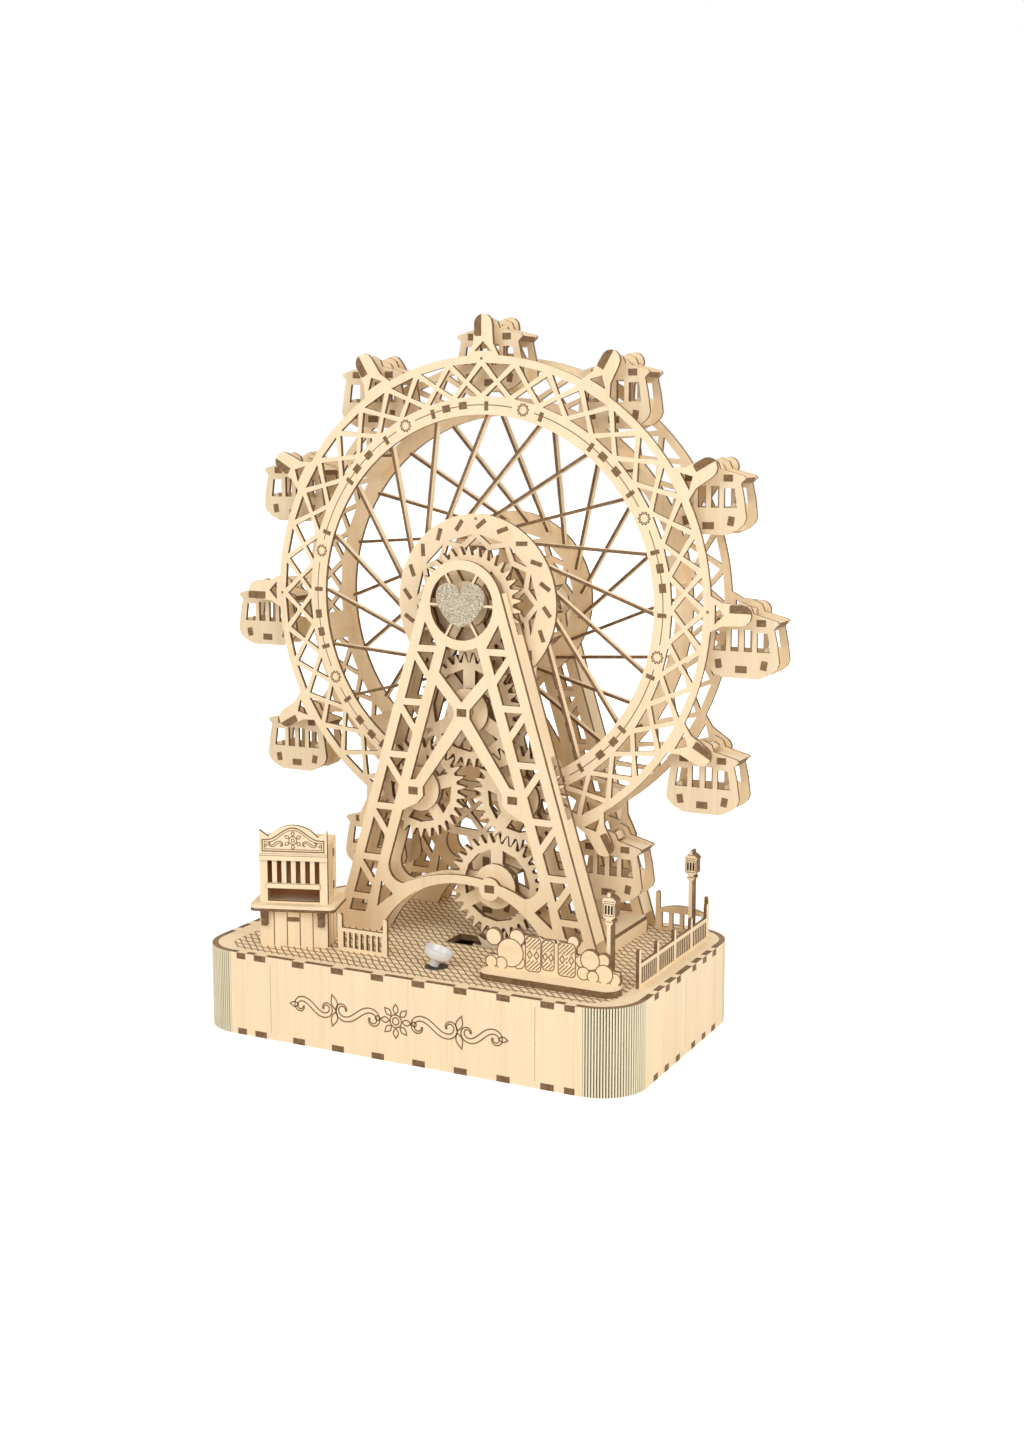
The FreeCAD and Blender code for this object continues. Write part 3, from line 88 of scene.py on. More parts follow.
# middle of the booth cabinet's foot, and the directions to its right and to its back
BOOTH_PLACE = (-68.7, -49.1, DECK_TOP)
BOOTH_TURN = math.radians(19.0)
BOOTH_RIGHT = (math.cos(BOOTH_TURN), math.sin(BOOTH_TURN), 0.0)
BOOTH_BACK = (-math.sin(BOOTH_TURN), math.cos(BOOTH_TURN), 0.0)
CABINET_HALF_WIDTH = 16.5
COUNTER_LOW, COUNTER_HIGH = 18.0, 21.0
KIOSK_HALF_WIDTH = 15.9
KIOSK_FRONT, KIOSK_BACK = 1.0, 19.0
# the room inside the kiosk: from front to back, half its width, and its ceiling
KIOSK_ROOM, KIOSK_ROOM_HALF, KIOSK_CEILING = (2.9, 17.1), 14.0, 49.5
# the front plates end this far behind the front, and the brackets this far before it
BOOTH_PLATES_END, BRACKETS_END = 3.05, -0.1
# over the deck: where the counter's edge is sanded, and where the boarding step's top plate starts
COUNTER_SANDED, STEP_PLATE_LOW = 19.4, 6.0
SIDE_FENCE_FROM = 99.8

# how deep a piece starts under the face that carries it
LINE_SINK = 0.05
TENON_SINK = 0.3
PANEL_SINK = 0.2


# ---- settings

class WoodSettings(bpy.types.PropertyGroup):
    """Colours and grain of the basswood plywood."""
    face: FloatVectorProperty(name="Face", description="Colour of the sanded face veneer",
                              subtype="COLOR", size=3, min=0, max=1, default=(0.95, 0.775, 0.545))
    streak: FloatVectorProperty(name="Streak", description="Colour of the darker grain streaks",
                                subtype="COLOR", size=3, min=0, max=1, default=(0.86, 0.665, 0.43))
    burnt: FloatVectorProperty(name="Burnt edge", description="Colour of a laser-cut edge",
                               subtype="COLOR", size=3, min=0, max=1, default=(0.150, 0.083, 0.040))
    toasted: FloatVectorProperty(name="Toasted edge", description="Lighter colour of a laser-cut edge",
                                 subtype="COLOR", size=3, min=0, max=1, default=(0.305, 0.185, 0.098))
    relief: FloatProperty(name="Grain relief", description="Strength of the fine grain bump",
                          min=0, max=1, default=0.12)


class MarkSettings(bpy.types.PropertyGroup):
    """Laser-engraved lines and tenon ends."""
    line: FloatProperty(name="Line width", description="Width of an engraved line",
                        unit="LENGTH", default=0.00062)
    lift: FloatProperty(name="Line lift", description="How far a mark's face stands over the wood",
                        unit="LENGTH", default=0.00005)
    tenon_lift: FloatProperty(name="Tenon lift", description="How far a tenon end stands over the wood",
                              unit="LENGTH", default=0.00012)
    etched: FloatVectorProperty(name="Etched", description="Colour of an engraved line",
                                subtype="COLOR", size=3, min=0, max=1, default=(0.235, 0.142, 0.073))


class CornerSettings(bpy.types.PropertyGroup):
    """Fluted bent corners of the base."""
    ribs: IntProperty(name="Ribs", description="Upright ribs on one corner", min=5, max=60, default=25)
    groove: FloatProperty(name="Groove", description="Depth of the slit between two ribs",
                          unit="LENGTH", default=0.0009)


class StageSettings(bpy.types.PropertyGroup):
    """Floor and lamps."""
    floor: FloatVectorProperty(name="Floor", description="Colour of the floor",
                               subtype="COLOR", size=3, min=0, max=1, default=(0.86, 0.86, 0.86))
    sky: FloatProperty(name="Sky", description="Strength of the even light from all round",
                       min=0, max=5, default=0.62)
    key: FloatProperty(name="Key lamp", description="Power of the large lamp at the front left, in watts",
                       min=0, default=7.5)
    fill: FloatProperty(name="Fill lamp", description="Power of the large lamp at the front right, in watts",
                        min=0, default=8.9)
    back: FloatProperty(name="Back lamp", description="Power of the large lamp behind, in watts",
                        min=0, default=5.6)


# ---- materials

class Graph:
    """The node tree of a material or a world, built one node at a time."""

    def __init__(self, owner):
        self.owner = owner
        owner.use_nodes = True
        self.tree = owner.node_tree
        self.tree.nodes.clear()

    def add(self, kind, inputs=None, **settings):
        """A node with its settings; an input is a plain value or another node's output."""
        made = self.tree.nodes.new(kind)
        for name, value in settings.items():
            setattr(made, name, value)
        for name, value in (inputs or {}).items():
            if isinstance(value, bpy.types.NodeSocket):
                self.tree.links.new(value, made.inputs[name])
            else:
                made.inputs[name].default_value = value
        return made

    def math(self, operation, *values):
        return self.add("ShaderNodeMath", dict(enumerate(values)), operation=operation).outputs[0]

    def vector(self, operation, *values):
        made = self.add("ShaderNodeVectorMath", dict(enumerate(values)), operation=operation)
        scalar = operation in ("DOT_PRODUCT", "LENGTH")
        return made.outputs["Value" if scalar else "Vector"]

    def above(self, value, limit):
        return self.math("GREATER_THAN", value, limit)

    def below(self, value, limit):
        return self.math("LESS_THAN", value, limit)

    def mix(self, share, first, second):
        return self.add("ShaderNodeMix", {0: share, 6: first, 7: second}, data_type="RGBA").outputs[2]

    def noise(self, where, scale, detail, roughness=0.55):
        made = self.add("ShaderNodeTexNoise", {"Vector": where, "Scale": scale, "Detail": detail,
                                               "Roughness": roughness})
        return made.outputs["Fac"]

    def ramp(self, value, low, high):
        """The value stretched so that low gives 0 and high gives 1."""
        made = self.add("ShaderNodeMapRange", {"Value": value, "From Min": low, "From Max": high})
        return made.outputs["Result"]

    def bump(self, height, strength, distance):
        made = self.add("ShaderNodeBump", {"Strength": strength, "Distance": distance, "Height": height})
        return made.outputs[0]

    def point(self):
        return self.add("ShaderNodeTexCoord").outputs["Object"]

    def normal(self):
        return self.add("ShaderNodeTexCoord").outputs["Normal"]

    def split(self, where):
        """The three coordinates of a point."""
        return self.add("ShaderNodeSeparateXYZ", {0: where}).outputs

    def scaled(self, where, scale):
        return self.add("ShaderNodeMapping", {"Vector": where, "Scale": scale}).outputs["Vector"]

    def finish(self, **inputs):
        """Principled surface with the given inputs, wired to the output."""
        surface = self.add("ShaderNodeBsdfPrincipled",
                           {name.replace("_", " "): value for name, value in inputs.items()})
        self.add("ShaderNodeOutputMaterial", {"Surface": surface.outputs[0]})
        return self.owner


def material_graph(name):
    return Graph(bpy.data.materials.new(name))


def rgba(colour):
    return tuple(colour) + (1.0,)


def along_axis(graph, axis):
    """1 where the surface faces along an axis, either way, and 0 on the cut edges between."""
    facing = graph.vector("DOT_PRODUCT", graph.normal(), axis)
    return graph.above(graph.math("ABSOLUTE", facing), 0.5)


def mask_plate(graph):
    return along_axis(graph, (0, 1, 0))


def mask_side(graph):
    return along_axis(graph, (1, 0, 0))


def mask_level(graph):
    return along_axis(graph, (0, 0, 1))


def mask_strip(graph):
    """Strips on edge between two plates: brown only where they face front or back."""
    return graph.math("SUBTRACT", 1.0, mask_plate(graph))


def mask_radial(graph):
    """Cross panels of the wheel: pale where they face along the wheel's radius."""
    out = graph.vector("SUBTRACT", graph.point(), tuple(Vector(WHEEL_CENTRE) * MM))
    out = graph.vector("NORMALIZE", graph.vector("MULTIPLY", out, (1, 0, 1)))
    facing = graph.math("ABSOLUTE", graph.vector("DOT_PRODUCT", out, graph.normal()))
    return graph.above(facing, 0.75)


def mask_cabin(graph):
    """Cabins: the cut edges of the two end plates are brown, the panels between them pale."""
    away = graph.math("SUBTRACT", graph.split(graph.point())["Y"], WHEEL_CENTRE[1] * MM)
    inside = graph.below(graph.math("ABSOLUTE", away), (CABIN_HALF_DEPTH - CABIN_PLATE) * MM)
    return graph.math("MAXIMUM", mask_plate(graph), inside)


def booth_reach(graph, direction=BOOTH_BACK):
    """How far a point lies behind the front of the booth's cabinet, or along another direction."""
    away = graph.vector("SUBTRACT", graph.point(), tuple(Vector(BOOTH_PLACE) * MM))
    return graph.vector("DOT_PRODUCT", away, direction)


def mask_booth(graph):
    """The booth stands in a turned frame: the edges of its front plates and the brackets are brown."""
    depth = booth_reach(graph)
    behind = graph.above(depth, BOOTH_PLATES_END * MM)
    pale = graph.math("MAXIMUM", along_axis(graph, BOOTH_BACK), behind)
    return graph.math("MULTIPLY", pale, graph.above(depth, BRACKETS_END * MM))


def mask_counter(graph):
    """The counter's edge is sanded pale above and burnt below."""
    sanded = graph.above(graph.split(graph.point())["Z"], (DECK_TOP + COUNTER_SANDED) * MM)
    return graph.math("MAXIMUM", mask_level(graph), sanded)


def mask_step(graph):
    """The boarding step is a box with a top plate: only the edge of that plate is brown."""
    box = graph.below(graph.split(graph.point())["Z"], (DECK_TOP + STEP_PLATE_LOW) * MM)
    return graph.math("MAXIMUM", mask_level(graph), box)


def mask_fences(graph):
    """Two fences stand along X and one, past all the rest, along Y."""
    side = graph.above(graph.split(graph.point())["X"], SIDE_FENCE_FROM * MM)
    front = graph.math("MULTIPLY", mask_plate(graph), graph.math("SUBTRACT", 1.0, side))
    return graph.math("MAXIMUM", front, graph.math("MULTIPLY", mask_side(graph), side))


def kiosk_inside(graph):
    """1 on the walls inside the kiosk, where the painted shade goes."""
    depth, across = booth_reach(graph), graph.math("ABSOLUTE", booth_reach(graph, BOOTH_RIGHT))
    front, back = (place * MM for place in KIOSK_ROOM)
    deep = graph.math("MULTIPLY", graph.above(depth, front), graph.below(depth, back))
    low = graph.below(graph.split(graph.point())["Z"], (DECK_TOP + KIOSK_CEILING) * MM)
    narrow = graph.below(across, KIOSK_ROOM_HALF * MM)
    return graph.math("MULTIPLY", graph.math("MULTIPLY", deep, low), narrow)


# the deck's engraved paving, in metres: how far its joints sway, the width of a course and of a column,
# and how far a column leans for each step back
PAVING_SWAY = (0.0014, 0.0026, 0)
PAVING_COURSE, PAVING_COLUMN, PAVING_LEAN = 0.0051, 0.0039, 0.90
# where a joint fades out and where it is full, as shares of a course and of a column, and its strength
COURSE_JOINT, COLUMN_JOINT, JOINT_STRENGTH = (0.115, 0.075), (0.145, 0.095), 0.95
# the plain border round it starts where a point is this far from a smaller rectangle
PAVING_HALF, PAVING_CORNER = (0.0865, 0.049, 0), 0.0140


def paving(graph):
    """1 on the joints of the paving: the distance to the nearest course line or column line, whose place a
    noise makes sway, is under a share of the course's width. The columns lean, so they run as diagonals."""
    where = graph.point()
    sway = graph.add("ShaderNodeTexNoise", {"Vector": where, "Scale": 85.0, "Detail": 1.5})
    offset = graph.vector("SUBTRACT", sway.outputs["Color"], (0.5, 0.5, 0.5))
    swayed = graph.split(graph.vector("ADD", where, graph.vector("MULTIPLY", offset, PAVING_SWAY)))
    course = graph.math("DIVIDE", swayed["Y"], PAVING_COURSE)
    lean = graph.math("MULTIPLY", swayed["Y"], PAVING_LEAN)
    column = graph.math("DIVIDE", graph.math("ADD", swayed["X"], lean), PAVING_COLUMN)
    line = graph.math("MAXIMUM",
                      graph.ramp(graph.math("PINGPONG", course, 0.5), *COURSE_JOINT),
                      graph.ramp(graph.math("PINGPONG", column, 0.5), *COLUMN_JOINT))
    past = graph.vector("SUBTRACT", graph.vector("ABSOLUTE", where), PAVING_HALF)
    past = graph.vector("MULTIPLY", graph.vector("MAXIMUM", past, (0, 0, 0)), (1, 1, 0))
    inside = graph.below(graph.vector("LENGTH", past), PAVING_CORNER)
    top = graph.above(graph.split(where)["Z"], (DECK_TOP - 0.1) * MM)
    return graph.math("MULTIPLY", graph.math("MULTIPLY", line, inside), top)


MASKS = {"plate": mask_plate, "side": mask_side, "level": mask_level, "strip": mask_strip,
         "radial": mask_radial, "cabin": mask_cabin, "booth": mask_booth, "fences": mask_fences,
         "kiosk": mask_booth, "counter": mask_counter, "step": mask_step}
# direction of the grain, as the scale of the noise along X, Y and Z
GRAINS = {"upright": (1.0, 1.0, 0.035), "across": (0.035, 1.0, 1.0), "deep": (1.0, 0.035, 1.0)}
# painted shade: share of the plain wood colour that a mask's faces keep, where they are darkened for the
# shade that falls on them; the cabins lie in the ring's shade
PAINTED_SHADE_SHARES = {"cabin": 0.90}
# painted shade: darker brown for the kiosk's inside walls, which lie in shade
KIOSK_PAINTED_SHADE = (0.60, 0.31, 0.135)
# scales of the noises per metre: fibres and bands along the grain, specks, and scorch on the cut edges
FIBRE_SCALE, BAND_SCALE, SPECK_SCALE, SCORCH_SCALE = 520.0, 70.0, 900.0, 420.0


def plywood(name, mask, grain, paved):
    """Raw basswood plywood: pale sanded faces with fine streaks, and laser-cut edges burnt brown. The cabins'
    faces and the kiosk's inside walls get painted shade.
    """
    wood = bpy.context.scene.ferris_wood
    # painted shade: the faces of the cabins are darkened to their share
    shade_share = PAINTED_SHADE_SHARES.get(mask, 1.0)
    plain, streak = (rgba(channel * shade_share for channel in colour) for colour in (wood.face, wood.streak))
    lighter = rgba(min(1.0, channel * shade_share * 1.05) for channel in wood.face)
    graph = material_graph(name)
    where = graph.point()
    fibre = graph.noise(graph.scaled(where, GRAINS[grain]), FIBRE_SCALE, 6.0, 0.62)
    band = graph.noise(graph.scaled(where, GRAINS[grain]), BAND_SCALE, 2.0)
    speck = graph.noise(where, SPECK_SCALE, 2.0)
    face = graph.mix(graph.ramp(fibre, 0.42, 0.80), plain, streak)
    face = graph.mix(graph.math("MULTIPLY", graph.ramp(band, 0.35, 0.65), 0.55), face, lighter)
    face = graph.mix(graph.math("MULTIPLY", graph.ramp(speck, 0.55, 0.85), 0.30), face, streak)
    if paved:
        etched = bpy.context.scene.ferris_marks.etched
        face = graph.mix(graph.math("MULTIPLY", paving(graph), JOINT_STRENGTH), face, rgba(etched))
    scorch = graph.noise(where, SCORCH_SCALE, 3.0, 0.7)
    edge = graph.mix(graph.ramp(scorch, 0.35, 0.72), rgba(wood.burnt), rgba(wood.toasted))
    colour = graph.mix(MASKS[mask](graph), edge, face)
    # painted shade on the walls inside the kiosk
    if mask == "kiosk":
        colour = graph.mix(kiosk_inside(graph), colour, rgba(KIOSK_PAINTED_SHADE))
    return graph.finish(Base_Color=colour, Roughness=graph.ramp(fibre, -1.2, 1.4),
                        Normal=graph.bump(fibre, wood.relief, 0.0004), Specular_IOR_Level=0.25)


def scorched(name, colour, contrast):
    """Burnt wood of an engraved line or a tenon's end, mottled by the laser; the lanterns' painted slot shade
    uses it too.
    """
    graph = material_graph(name)
    spots = graph.noise(graph.point(), 700.0, 3.0, 0.7)
    pale = rgba(min(1.0, channel * (1.0 + contrast)) for channel in colour)
    dark = rgba(channel * (1.0 - contrast) for channel in colour)
    return graph.finish(Base_Color=graph.mix(graph.ramp(spots, 0.3, 0.7), dark, pale), Roughness=0.75,
                        Specular_IOR_Level=0.2)


def tenon_material():
    found = bpy.data.materials.get("tenon_end")
    return found or scorched("tenon_end", (0.235, 0.142, 0.075), 0.35)


def etched_material():
    found = bpy.data.materials.get("etched_line")
    return found or scorched("etched_line", bpy.context.scene.ferris_marks.etched, 0.25)


# ---- surfaces

class Sheet:
    """A flat face of the part: an origin and two directions, with the outward normal u x v."""

    def __init__(self, origin, u, v):
        self.origin = np.array(origin, float)
        self.u = np.array(u, float)
        self.v = np.array(v, float)
        self.normal = np.cross(self.u, self.v)

    def place(self, points, lift):
        """Points (n, 2) of the face, raised by lift, as (n, 3)."""
        points = np.asarray(points, float)
        return self.origin + points[:, :1] * self.u + points[:, 1:] * self.v + lift * self.normal


def front_sheet(y, x=0.0, z=0.0):
    return Sheet((x, y, z), (1, 0, 0), (0, 0, 1))


def rear_sheet(y, x=0.0, z=0.0):
    return Sheet((x, y, z), (-1, 0, 0), (0, 0, 1))


def prism(outline, sheet, low, high):
    """Straight-sided block over a convex outline (n, 2), from low to high over the sheet."""
    n = len(outline)
    points = np.vstack([sheet.place(outline, low), sheet.place(outline, high)])
    ring = np.arange(n)
    beside = np.roll(ring, -1)
    walls = np.stack([ring, beside, beside + n, ring + n], axis=1)
    return points, [list(ring[::-1])] + walls.tolist() + [list(ring + n)]


def tube_faces(n, closed=False):
    """Faces of a tube with four corners: corner k of its n sections is point k * n and those after it. Each
    wall joins two sections along two neighbouring corners; an open tube has a cap at either end. The corners
    go from left to right below and back above, so the faces point outwards."""
    here = np.arange(n if closed else n - 1)
    there = (here + 1) % n
    faces = []
    for corner in range(4):
        side, beside = corner * n, (corner + 1) % 4 * n
        faces += np.stack([there + side, there + beside, here + beside, here + side], axis=1).tolist()
    if not closed:
        faces += [[0, n, 2 * n, 3 * n], [4 * n - 1, 3 * n - 1, 2 * n - 1, n - 1]]
    return faces


def ribbon(path, width, sheet, low, high, closed):
    """A rectangular profile carried along a path (n, 2): each point gets its left and right neighbour at
    half the width along the bisector of the two runs, once at low and once at high."""
    path = np.asarray(path, float)
    if closed:
        ahead, behind = np.roll(path, -1, axis=0), np.roll(path, 1, axis=0)
    else:
        ahead, behind = np.vstack([path[1:], path[-1:]]), np.vstack([path[:1], path[:-1]])
    run, back = ahead - path, path - behind
    if not closed:
        run[-1], back[0] = back[-1], run[0]
    run /= np.linalg.norm(run, axis=1, keepdims=True)
    back /= np.linalg.norm(back, axis=1, keepdims=True)
    middle = run + back
    middle /= np.linalg.norm(middle, axis=1, keepdims=True)
    across = np.stack([-middle[:, 1], middle[:, 0]], axis=1)
    stretch = np.clip(np.sum(middle * run, axis=1, keepdims=True), 0.4, 1.0)
    left = path + across * width / 2 / stretch
    right = path - across * width / 2 / stretch
    points = np.vstack([sheet.place(left, low), sheet.place(right, low),
                        sheet.place(right, high), sheet.place(left, high)])
    return points, tube_faces(len(path), closed)


def revolve(profile, centre, axis, steps):
    """A profile (n, 2) of radius and height turned about an axis through centre. Its ends lie on the axis,
    where the points of all steps are made one, so that the poles are closed."""
    profile = np.asarray(profile, float)
    axis = np.array(axis, float) / np.linalg.norm(axis)
    helper = np.array((1.0, 0, 0)) if abs(axis[0]) < 0.9 else np.array((0, 1.0, 0))
    u = np.cross(axis, helper)
    u /= np.linalg.norm(u)
    v = np.cross(axis, u)
    angle = np.linspace(0, 2 * np.pi, steps, endpoint=False)
    ring = np.cos(angle)[:, None] * u + np.sin(angle)[:, None] * v
    points = (np.array(centre, float) + profile[None, :, 1:] * axis
              + profile[None, :, :1] * ring[:, None, :]).reshape(-1, 3)
    n = len(profile)
    a = (np.arange(steps)[:, None] * n + np.arange(n - 1)[None, :]).ravel()
    b = (((np.arange(steps) + 1) % steps)[:, None] * n + np.arange(n - 1)[None, :]).ravel()
    points, kept = np.unique(points, axis=0, return_inverse=True)
    quads = kept.reshape(-1)[np.stack([a, b, b + 1, a + 1], axis=1)]
    return points, [list(dict.fromkeys(quad)) for quad in quads.tolist()]


def bar(start, end, across, depth):
    """Straight bar between two points, with a parallelogram for its cross section: half an edge to either
    side of the points, and the whole of the other edge."""
    ring = np.array([start - across, start + across, start + across + depth, start - across + depth])
    walls = [[i, (i + 1) % 4, (i + 1) % 4 + 4, i + 4] for i in range(4)]
    return np.vstack([ring, ring + (end - start)]), [[3, 2, 1, 0], [4, 5, 6, 7]] + walls


def turned(points, degrees):
    """Points (n, 2) turned about the origin: each times the rotation matrix."""
    angle = math.radians(degrees)
    cosine, sine = math.cos(angle), math.sin(angle)
    return points @ np.array([(cosine, sine), (-sine, cosine)])


def polar(radius, degrees):
    return (radius * math.cos(math.radians(degrees)), radius * math.sin(math.radians(degrees)))


def around(reach, angle, centre):
    """Points at a reach and an angle, in radians, from a centre."""
    return np.stack([centre[0] + reach * np.cos(angle), centre[1] + reach * np.sin(angle)], axis=1)


def circle(radius, steps, centre=(0.0, 0.0)):
    return around(radius, np.linspace(0, 2 * np.pi, steps, endpoint=False), centre)


def arc(radius, start, end, steps, centre=(0.0, 0.0)):
    return around(radius, np.radians(np.linspace(start, end, steps)), centre)


def rectangle(width, height, centre=(0.0, 0.0), turn=0.0):
    corners = np.array([(-1, -1), (1, -1), (1, 1), (-1, 1)], float) * (width / 2, height / 2)
    return turned(corners, turn) + centre


def rounded(low, high, radius, steps=5):
    """Rectangle between two corners, with quarter circles of a radius at its corners."""
    (x0, z0), (x1, z1) = low, high
    corners = ((x1 - radius, z0 + radius, -90), (x1 - radius, z1 - radius, 0),
               (x0 + radius, z1 - radius, 90), (x0 + radius, z0 + radius, 180))
    return np.vstack([arc(radius, start, start + 90, steps, (x, z)) for x, z, start in corners])


def sun(radius, centre):
    """Closed outline of a toothed sun: a circle whose radius swings between two values, tooth by tooth."""
    teeth, steps = 10, 8
    angle = np.linspace(0, 2 * np.pi, teeth * steps, endpoint=False)
    return around(radius * (1.0 + 0.17 * np.tanh(3.0 * np.cos(teeth * angle))), angle, centre)


def leaf(base, degrees, length, width):
    """Outline of a leaf: out along one side and back along the other, each half a sine wave wide."""
    way = np.linspace(0, 1, 9)
    half = width / 2 * np.sin(np.pi * way) * (1.25 - 0.5 * way)
    side = np.stack([way * length, half], axis=1)
    return turned(np.vstack([side * (1, -1), side[-2:0:-1]]), degrees) + base


def double_curl(centre, size, tilt, flip, turns=1.9, steps=97):
    """Scroll with a curl at both ends: a clothoid, whose heading grows with the square of the way from its
    middle, summed up step by step."""
    way = np.linspace(-turns, turns, steps)
    heading = np.pi / 2 * way ** 2
    path = np.cumsum(np.stack([np.cos(heading), np.sin(heading)], axis=1), axis=0) * (way[1] - way[0])
    return turned((path - path[steps // 2]) * size, tilt - 45.0) * (1, flip) + centre


def band(path, width):
    """Closed outline of a band that thins towards both ends: the path moved to either side by half the
    width times a sine of the way along."""
    step = np.gradient(path, axis=0)
    step /= np.linalg.norm(step, axis=1, keepdims=True)
    across = np.stack([-step[:, 1], step[:, 0]], axis=1)
    way = np.linspace(0, 1, len(path))[:, None]
    half = width / 2 * (0.22 + 0.78 * np.sin(np.pi * way))
    return np.vstack([path - across * half, (path + across * half)[::-1]])


def shown_runs(points, covers, closed):
    """Runs of a path that lie under none of the covers, each with whether it is closed; a cover is a disc
    (x, z, radius) or a rectangle (low x, low z, high x, high z)."""
    hidden = np.zeros(len(points), bool)
    for cover in covers:
        if len(cover) == 3:
            hidden |= np.hypot(*(points - cover[:2]).T) < cover[2]
        else:
            hidden |= (points > cover[:2]).all(axis=1) & (points < cover[2:]).all(axis=1)
    if not hidden.any():
        return [(points, closed)]
    if closed:
        first = int(np.argmax(hidden))
        points, hidden = np.roll(points, -first, axis=0), np.roll(hidden, -first)
    ends = np.flatnonzero(np.diff(hidden.astype(int))) + 1
    runs = np.split(np.arange(len(points)), ends)
    return [(points[run], False) for run in runs if not hidden[run[0]] and len(run) > 2]


def mark_setting(name):
    """A length of the mark settings, in millimetres."""
    return getattr(bpy.context.scene.ferris_marks, name) / MM


def engraved(path, width, sheet, closed=False):
    return ribbon(path, width, sheet, -LINE_SINK, mark_setting("lift"), closed)


def tenon_end(outline, sheet, sink=TENON_SINK):
    return prism(outline, sheet, -sink, mark_setting("tenon_lift"))


def piece(name, parts, material, body, replaces=(), smooth=False):
    """One mesh object out of (points, faces) parts in millimetres, riding on a body."""
    points, faces, count = [], [], 0
    for part_points, part_faces in parts:
        points.append(part_points)
        faces += [[index + count for index in face] for face in part_faces]
        count += len(part_points)
    mesh = bpy.data.meshes.new(name)
    mesh.from_pydata((np.vstack(points) * MM).tolist(), [], faces)
    mesh.validate()
    mesh.polygons.foreach_set("use_smooth", [smooth] * len(mesh.polygons))
    mesh.materials.append(material)
    made = bpy.data.objects.new(name, mesh)
    bpy.context.scene.collection.objects.link(made)
    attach(made, body)
    if replaces:
        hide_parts(*replaces)
    return made


def cover_node(name, material):
    """Give a CAD node another material."""
    for entry in NODES[name].material_slots:
        entry.material = material


# ---- operators

class Finish:
    """What the operators share."""

    bl_options = {"REGISTER", "UNDO"}


# (mask, grain): the nodes that have them. The cabins have their own, and the other nodes are upright plates.
WOOD = {
    ("side", "upright"): "base_left_panel base_right_panel base_corner_walls",
    ("level", "across"): "base_floor base_deck sign_base",
    ("plate", "across"): "sign_hedge",
    ("step", "deep"): "boarding_step",
    ("booth", "upright"): "booth_cabinet",
    ("counter", "across"): "booth_counter",
    ("kiosk", "upright"): "booth_kiosk",
    ("fences", "upright"): "deck_fences",
    ("strip", "deep"): "crank_handle crank_shaft main_shaft gear_pivots cabin_pins",
    ("strip", "upright"): "front_tower_side_strips rear_tower_side_strips front_spokes rear_spokes",
    ("radial", "deep"): "rim_cross_panels hub_cross_panels",
}
NOT_WOOD = ("heart_emblem", "spotlight_lens", "spotlight_socket")


class FERRIS_OT_wood(Finish, bpy.types.Operator):
    """Give every wooden CAD node its plywood finish"""

    bl_idname = "ferris.wood"
    bl_label = "Wood finish"

    def execute(self, context):
        kinds = {name: kind for kind, names in WOOD.items() for name in names.split()}
        kinds.update(dict.fromkeys(CABINS, ("cabin", "upright")))
        made = {}
        for name in NODES:
            if name in NOT_WOOD:
                continue
            mask, grain = kinds.get(name, ("plate", "upright"))
            paved = name == "base_deck"
            key = "wood_%s_%s%s" % (mask, grain, "_paved" if paved else "")
            if key not in made:
                made[key] = plywood(key, mask, grain, paved)
            cover_node(name, made[key])
        return {"FINISHED"}


# degrees of the marks in one quarter of a ring: the suns, the runs of the thin line, and the tenons at the
# joints of its segments. The rear ring's spokes end elsewhere, so its marks have places of their own.
RING_SUNS = {"front": (26.4, 76.4), "rear": (28.6, 64.6)}
RING_LINES = {"front": ((30.0, 72.8), (80.0, 112.8)), "rear": ((32.2, 61.0), (68.2, 115.0))}
RING_JOINTS = (6.1, 11.7, 42.0, 47.8)
# radius of the suns' and the lines' middle, of the spoke tenons, of the joint tenons and of the dots
MARK_RADIUS, SPOKE_TENON_RADIUS, JOINT_TENON_RADIUS, DOT_RADIUS = 93.1, 92.6, 93.3, 114.6
SUN_RADIUS = 2.45
# widths of the suns' and the ring's lines, as shares of the line width of the settings
SUN_LINE, RING_LINE = 0.85, 0.7
# the hub's marks: radius of the tenons' middle, how far they are turned, and radius of the dot
HUB_TENON_RADIUS, HUB_TENON_TURN, HUB_DOT_RADIUS = 37.6, -48, 39.9


def arm_end(angle, side):
    """Outline of the axle bar's end in an arm's round tip: half of the tip, cut along the arm's axis. It is
    drawn for an arm that points along X and then turned to its angle; side -1 mirrors it."""
    half, middle, foot, gap, corner_radius = 4.64, 130.5, 125.0, 0.9, 0.9
    open_angle = math.degrees(math.acos(gap / half))
    tip = arc(half, 90.0 - open_angle, 90.0, 10, (middle, 0.0))
    corner = arc(corner_radius, 90.0, 180.0, 4, (foot + corner_radius, half - corner_radius))
    outline = turned(np.vstack([(foot, gap), tip, corner]), angle)
    return outline if side > 0 else (outline * (-1, 1))[::-1]


